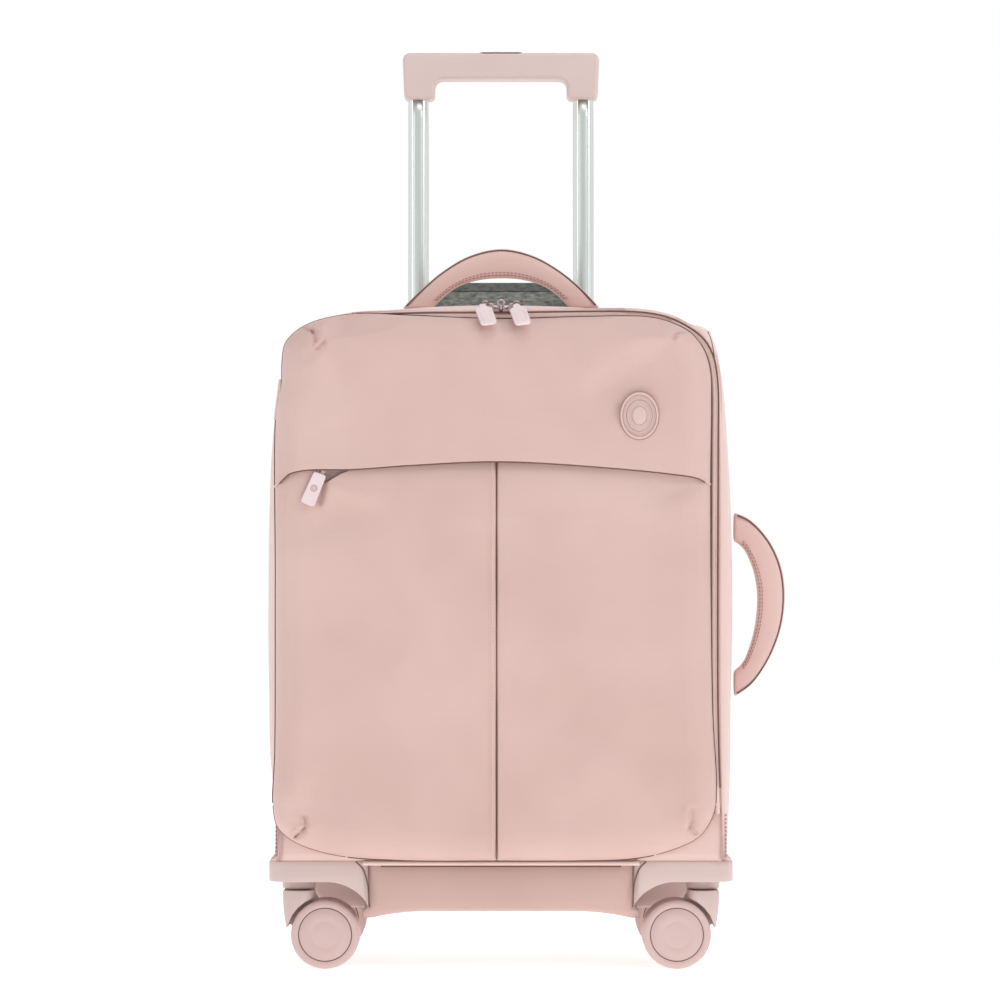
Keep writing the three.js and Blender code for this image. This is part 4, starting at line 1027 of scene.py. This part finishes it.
# ---- carry handles
def handle_band(outer, inner, half_thick):
    """A padded band between two arcs, with a welt near each edge; the arcs are XZ curves."""
    mid, reach = (outer + inner) / 2, (outer - inner) / 2
    section = [(-1.0, 0.30), (-0.97, 0.62), (-0.90, 0.80), (-0.85, 0.74), (-0.80, 0.86), (-0.55, 0.96),
               (-0.2, 1.0), (0.2, 1.0), (0.55, 0.96), (0.78, 0.86), (0.83, 0.74), (0.88, 0.80), (0.97, 0.62),
               (1.0, 0.30)]
    loop = [(r, -h) for r, h in section] + [(r, h) for r, h in section[::-1]]
    rows = []
    n = len(mid)
    for i in range(n):
        ease = 1 - 0.25 * (2 * i / (n - 1) - 1) ** 6
        rows.append([(mid[i, 0] + reach[i, 0] * r, h * half_thick * ease, mid[i, 1] + reach[i, 1] * r)
                     for r, h in loop])
    points, faces = grid(rows, True, (mid[n // 2, 0], 0, mid[n // 2, 1]))
    m = len(loop)
    faces += [tuple(range(m)), tuple((n - 1) * m + j for j in range(m))]
    return points, faces


def carry_handle(name, body, outer, inner):
    outer, inner = spline(outer, 61), spline(inner, 61)
    obj = piece(f"{name}_padding", handle_band(outer, inner, 8.6), body, HANDLE_CLOTH, instead_of=(name,))
    outward(obj)
    finer(obj)
    welt_shadows, rows = [], []
    for face in (-1, 1):
        up = (0, face, 0)
        edge = outer * 0.925 + inner * 0.075
        near = outer * 0.08 + inner * 0.92
        second = outer * 0.17 + inner * 0.83
        # a painted shadow line laid in the groove of each welt
        welt_shadows.append(tube(at_depth(edge, face * 6.9)[1:-1], 0.62, 6, up=up))
        rows += [stitches(at_depth(near, face * 7.1)[4:-4], 3.0, 0.42, up=up),
                 stitches(at_depth(second, face * 8.0)[4:-4], 3.0, 0.36, up=up)]
    piece(f"{name}_welt", merged(welt_shadows), body, SEAM_SHADE)
    piece(f"{name}_stitching", merged(rows), body, THREAD_AND_PAINTED_SHADE)


def carry_handles():
    top_outer = [(-79, 513.5), (-66, 526.5), (-47, 543), (-25, 556), (0, 561.6), (25, 556.4), (47, 544),
                 (66, 528), (79, 514)]
    top_inner = [(-55, 513.5), (-44, 524.5), (-33, 532), (-17, 537), (0, 538.4), (17, 537.2), (33, 532.4),
                 (44, 525.2), (55, 514)]
    carry_handle("top_handle", "top_carry_handle", top_outer, top_inner)
    side_outer = [(184, 353), (197, 347), (212, 331), (221.5, 311), (224.8, 289), (222, 262), (212, 236),
                  (198, 216), (184, 206)]
    side_inner = [(184, 330), (191, 325), (198, 312), (202, 297), (203, 282), (201, 262), (196.5, 245),
                  (191, 233), (184, 226.5)]
    carry_handle("side_handle", "side_carry_handle", side_outer, side_inner)


# ---- trolley
GRIP_TOP = 727


def grip_shape():
    half, top, bar, leg = 80, GRIP_TOP, 705.5, 689
    face = rounded([(-half + 1.6, leg, 4), (-half + 26.4, leg, 4), (-half + 26.6, bar, 6.5),
                    (half - 26.6, bar, 6.5), (half - 26.4, leg, 4), (half - 1.6, leg, 4), (half, top, 6),
                    (-half, top, 6)], 7)
    return plate(face, 64.5, 87.5)


def trolley():
    grip = piece("grip_cover", grip_shape(), "handle", GRIP_PLASTIC)
    bevelled(grip, 3.2, 5, 60)
    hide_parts("grip")
    release_button()
    for label, _ in SIDES:
        tube_reflection_bands(label)
    bezel_cup()


def release_button():
    """The button, and a painted shadow for the gap round it in the top of the grip."""
    low, high = cad_box("release_button")
    pad = rounded([(low[0] + 0.4, low[2] + 1.2, 1.5), (high[0] - 0.4, low[2] + 1.2, 1.5),
                   (high[0] - 0.4, high[2] + 0.9, 1.8), (low[0] + 0.4, high[2] + 0.9, 1.8)], 5)
    piece("button_pad", plate(pad, low[1] + 0.5, high[1] - 0.5), "button", GRIP_PLASTIC,
          bevel=1.2, instead_of=("release_button",))
    loop = even_loop(oblong(low[0] - 0.5, low[1] - 0.2, high[0] + 0.5, high[1] + 0.2, 3), 6, 100)
    path = xyz(loop[:, 0], loop[:, 1], GRIP_TOP - 0.3)
    piece("button_gap_shadow", tube(path, 0.75, 6, closed=True, up=(0, 0, 1)), "handle", SEAM_SHADE)


def tube_reflection_bands(label):
    """Painted reflection: darker metal bands down the front and the back of one inner tube, for the grey that
    its polish reflects there.
    """
    low, high = cad_box(f"inner_tube_{label}")
    centre, reach = (low + high) / 2, (high[0] - low[0]) / 2 + 0.03
    z = np.linspace(low[2] + 4, 690, 24)
    for face, turn in (("front", 0), ("back", pi)):
        rows = [xyz(centre[0] + reach * sin(turn + t), centre[1] - reach * cos(turn + t), z)
                for t in np.linspace(-0.56, 0.44, 11)]
        piece(f"tube_reflection_band_{label}_{face}", grid(rows, away=tuple(centre)), "handle", REFLECTION_BAND_METAL,
              skin=0.06)


def top_height(x, y):
    """Height of the case's top at a place on it."""
    ring = case_ring(y, 0)
    upper = ring[ring[:, 1] > 470]
    return float(np.interp(x, upper[:, 0], upper[:, 1]))


def bezel_ring(inset, lift, level=None):
    corner = max(7 - inset, 1.5)
    x, low, high = 85 - inset, 59 + inset, 93 - inset
    loop = even_loop(oblong(-x, low, x, high, corner), 8, 200)
    return xyz(loop[:, 0], loop[:, 1], [level if level else top_height(*p) + lift for p in loop])


def bezel_cup():
    """Grey cup that the grip sinks into, with a lip over the cloth and a two-band wall behind the handle."""
    rows = [bezel_ring(0.6, -12), bezel_ring(0.2, -0.6), bezel_ring(-1.6, -0.2), bezel_ring(-1.9, 0.5),
            bezel_ring(-1.2, 1.1), bezel_ring(1.6, 1.2), bezel_ring(2.8, 0.7), bezel_ring(3.4, -1.0),
            bezel_ring(3.6, 0, 498), bezel_ring(4.6, 0, 493), bezel_ring(7.5, 0, 492)]
    points, faces = grid(rows, True, (0, 76, 400))
    faces.append(tuple((len(rows) - 1) * 200 + j for j in range(200)))
    piece("bezel_cup", (points, faces), "case", BEZEL_GREY, instead_of=("handle_bezel",))
    wall = rounded([(-59, 500, 2), (59, 500, 2), (57, 534.6, 1), (-57, 534.6, 1)], 5)
    piece("bezel_wall", plate(wall, 89.5, 93), "case", BEZEL_GREY, bevel=0.5)
    band = rounded([(-56.6, 534.8, 0.5), (56.6, 534.8, 0.5), (52.5, 541.8, 3), (-52.5, 541.8, 3)], 5)
    piece("bezel_upper_band", plate(band, 89.0, 93.4), "case", BEZEL_DARK, bevel=0.6)


# ---- casters
WHEEL_WIDTH = 16
WHEEL_CENTRE_Z = 26.5
SWIVEL_X, SWIVEL_Y, WHEEL_TRAIL = 156.0, 72.0, 21


def wheel_shape():
    """One wheel's section: soft tread, hub cap ring and a shallow ring in the cap."""
    w, outer = WHEEL_WIDTH, 26.4
    return [(0.05, 0), (8, 0), (8.6, 0.5), (20, 0.5), (20.6, 0.0), (23, 0), (25.4, 0.8), (outer, 2.8),
            (outer, w - 2.8), (25.4, w - 0.8), (23.4, w), (21.0, w + 0.1), (20.5, w - 0.5), (20.1, w - 0.5),
            (19.6, w + 0.25), (12, w + 0.45), (11, w + 0.2), (10, w + 0.15), (9, w + 0.4), (4, w + 0.45),
            (0.05, w + 0.45)]


def arch_height(x):
    """Lower edge of a caster's housing, which comes down in an arch towards the belly."""
    t = np.clip((131 - abs(x)) / 29.5, 0, 1)
    return 67.4 - 20.8 * (1 - np.sqrt(np.clip(1 - t**2.1, 0, 1))) ** 0.85 - 1.4 * t


def housing_ring(sx, sy, inset, level=None, arch=0.0):
    near, far, x_in, x_out = 12 + inset, 100.4 - inset, 101.2 + inset, 178.4 - inset
    r = max(15 - inset, 3)
    loop = even_loop([(x_in, near, 3), (x_out, near, 3), (x_out, far, r), (x_in, far, max(7 - inset, 1.5))],
                     9, 200)
    deep = np.clip((17 - loop[:, 1]) / 3, 0, 1) * np.clip((160 - loop[:, 0]) / 22, 0, 1)
    skirt = arch_height(loop[:, 0]) * (1 - deep) + np.minimum(arch_height(loop[:, 0]), 41) * deep
    return xyz(loop[:, 0] * sx, loop[:, 1] * sy, skirt + arch if level is None else level)


def housing(name, sx, sy):
    """Corner guard: a smooth shell with a deep skirt on the belly's side, and the collar under it."""
    steps = [(12, 84), (2.2, 84), (0.8, 83.6), (0.1, 82.4), (0, 79), (0, 73), (0, None, 1.0), (0.3, None, 0.3),
             (1.1, None, 0), (2.2, None, 0.4), (2.8, None, 1.6), (3.2, 71.5), (6, 72.4)]
    rows = [housing_ring(sx, sy, *step) for step in steps]
    points, faces = grid(rows, True, (sx * 140, sy * 56, 78))
    last = (len(rows) - 1) * 200
    faces += [tuple(range(200)), tuple(last + j for j in range(200))]
    outward(piece(f"housing_{name}", (points, faces), "case", MOULDED,
                  instead_of=(f"caster_housing_{name}",)))
    collar = lathe([(0.05, 60.8), (11.6, 60.8), (12.6, 61.4), (12.9, 62.6), (12.9, 66.8), (13.6, 67.4),
                    (13.6, 72.6), (0.05, 72.6)], (sx * SWIVEL_X, sy * SWIVEL_Y, 0), (0, 0, 1), 48)
    piece(f"collar_{name}", collar, "case", MOULDED)
    # a painted shadow line where the housing's inner edge meets the belly
    line = spline([(sx * 111, 83.2), (sx * 105.4, 77), (sx * 102.0, 66), (sx * 100.9, 48.5)], 40)
    piece(f"housing_shadow_line_{name}", tube(at_depth(line, sy * 100.3), 0.55, 6), "case", SEAM_SHADE)


def outward(obj):
    bm = bmesh.new()
    bm.from_mesh(obj.data)
    bmesh.ops.recalc_face_normals(bm, faces=bm.faces)
    bm.to_mesh(obj.data)
    bm.free()


def casters():
    for name, sx, sy in CORNERS:
        wheel_x = sx * SWIVEL_X - sx * WHEEL_TRAIL
        for twin, way in (("outer", 1), ("inner", -1)):
            body = f"wheel_{name}_{twin}"
            y, axis = sy * SWIVEL_Y + sy * way * 3.0, sy * way
            shape = lathe(wheel_shape(), (wheel_x, y, WHEEL_CENTRE_Z), (0, axis, 0), 64)
            piece(f"{body}_tyre", shape, body, WHEEL_PLASTIC, instead_of=(body,))
            # a painted shadow line in the groove round the hub cap
            gap = circle(wheel_x, WHEEL_CENTRE_Z, 20.35, y + axis * 15.75, 64)
            piece(f"{body}_line", tube(gap, 0.27, 6, closed=True), body, SEAM_SHADE)
        from_cad(f"caster_fork_{name}", f"fork_{name}", f"caster_{name}", MOULDED, 1.2)
        housing(name, sx, sy)


# ---- finishes of the CAD nodes that show
def finish_cad():
    metals = {"inner_tube": ALUMINIUM, "mid_tube": ALUMINIUM, "outer_tube": STEEL, "lock_block": DARK_PLASTIC,
              "release_rods": STEEL, "tube_bracket": DARK_PLASTIC, "kingpin": STEEL}
    for node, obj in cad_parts.items():
        for start, material in metals.items():
            if start in node:
                obj.data.materials.clear()
                obj.data.materials.append(material)
                for polygon in obj.data.polygons:
                    polygon.use_smooth = True


# ---- studio
AMBIENT = 0.5  # the white world as the object sees it; the camera sees it at full strength
GLOSSY_AMBIENT = 0.6
FLOOR_GLOW = 0.56
LENS, CAMERA_AT, CAMERA_TILT_UP = 140.4, (-0.77, -3090.5, 291), 1.322
# name, place in metres, size in metres, watts
LIGHTS = (("key", (2.2, -1.5, 1.8), 1.2, 20), ("top", (0.2, -0.5, 2.3), 1.2, 9),
          ("fill", (-2.4, -1.1, 1.2), 1.6, 9), ("behind", (0.6, 2.4, 1.8), 1.8, 9))


def studio():
    scene = bpy.context.scene
    scene.view_settings.view_transform = "Standard"
    scene.view_settings.look = "None"
    world = bpy.data.worlds.new("studio")
    r = Recipe(world)
    seen = r.add("LightPath").outputs
    gloss = r.maths("MULTIPLY", seen["Is Glossy Ray"], GLOSSY_AMBIENT)
    level = r.maths("MULTIPLY_ADD", r.maths("MAXIMUM", seen["Is Camera Ray"], gloss), 1 - AMBIENT)
    level.node.inputs[2].default_value = AMBIENT
    r.links.new(level, r.nodes["Background"].inputs["Strength"])
    r.nodes["Background"].inputs["Color"].default_value = (1, 1, 1, 1)
    scene.world = world
    mesh = bpy.data.meshes.new("floor")
    mesh.from_pydata([(-12, -12, 0), (12, -12, 0), (12, 12, 0), (-12, 12, 0)], [], [(0, 1, 2, 3)])
    floor = bpy.data.objects.new("floor", mesh)
    scene.collection.objects.link(floor)
    white = new_recipe("floor_white", 0.9)
    for socket, value in (("Base Color", (0.96, 0.96, 0.96, 1)), ("Emission Color", (1, 1, 1, 1)),
                          ("Emission Strength", FLOOR_GLOW)):
        white.shader.inputs[socket].default_value = value
    mesh.materials.append(white.owner)
    for name, spot, size, power in LIGHTS:
        light = bpy.data.lights.new(name, "AREA")
        light.shape, light.size, light.energy = "DISK", size, power
        obj = bpy.data.objects.new(name, light)
        obj.location = spot
        obj.rotation_euler = (Vector((0, 0, 0.3)) - Vector(spot)).to_track_quat("-Z", "Y").to_euler()
        scene.collection.objects.link(obj)


def camera():
    data = bpy.data.cameras.new("camera")
    data.lens, data.sensor_width = LENS, 36
    obj = bpy.data.objects.new("camera", data)
    obj.location = place([CAMERA_AT])[0]
    obj.rotation_euler = (radians(90 + CAMERA_TILT_UP), 0, 0)
    bpy.context.scene.collection.objects.link(obj)
    bpy.context.scene.camera = obj


for build in (camera, studio, case_shell, back_cover, body_trim, zip_end_tab, front_apron, base_cover,
              bottom_piping, lining_shell, mouth_hoop, packing_straps, zip_bands, pocket, pocket_zip,
              flap, lid_trim, lid_back, badge, main_zip_pulls, lock_loop, pocket_zip_pull, carry_handles,
              trolley, casters, finish_cad):
    build()
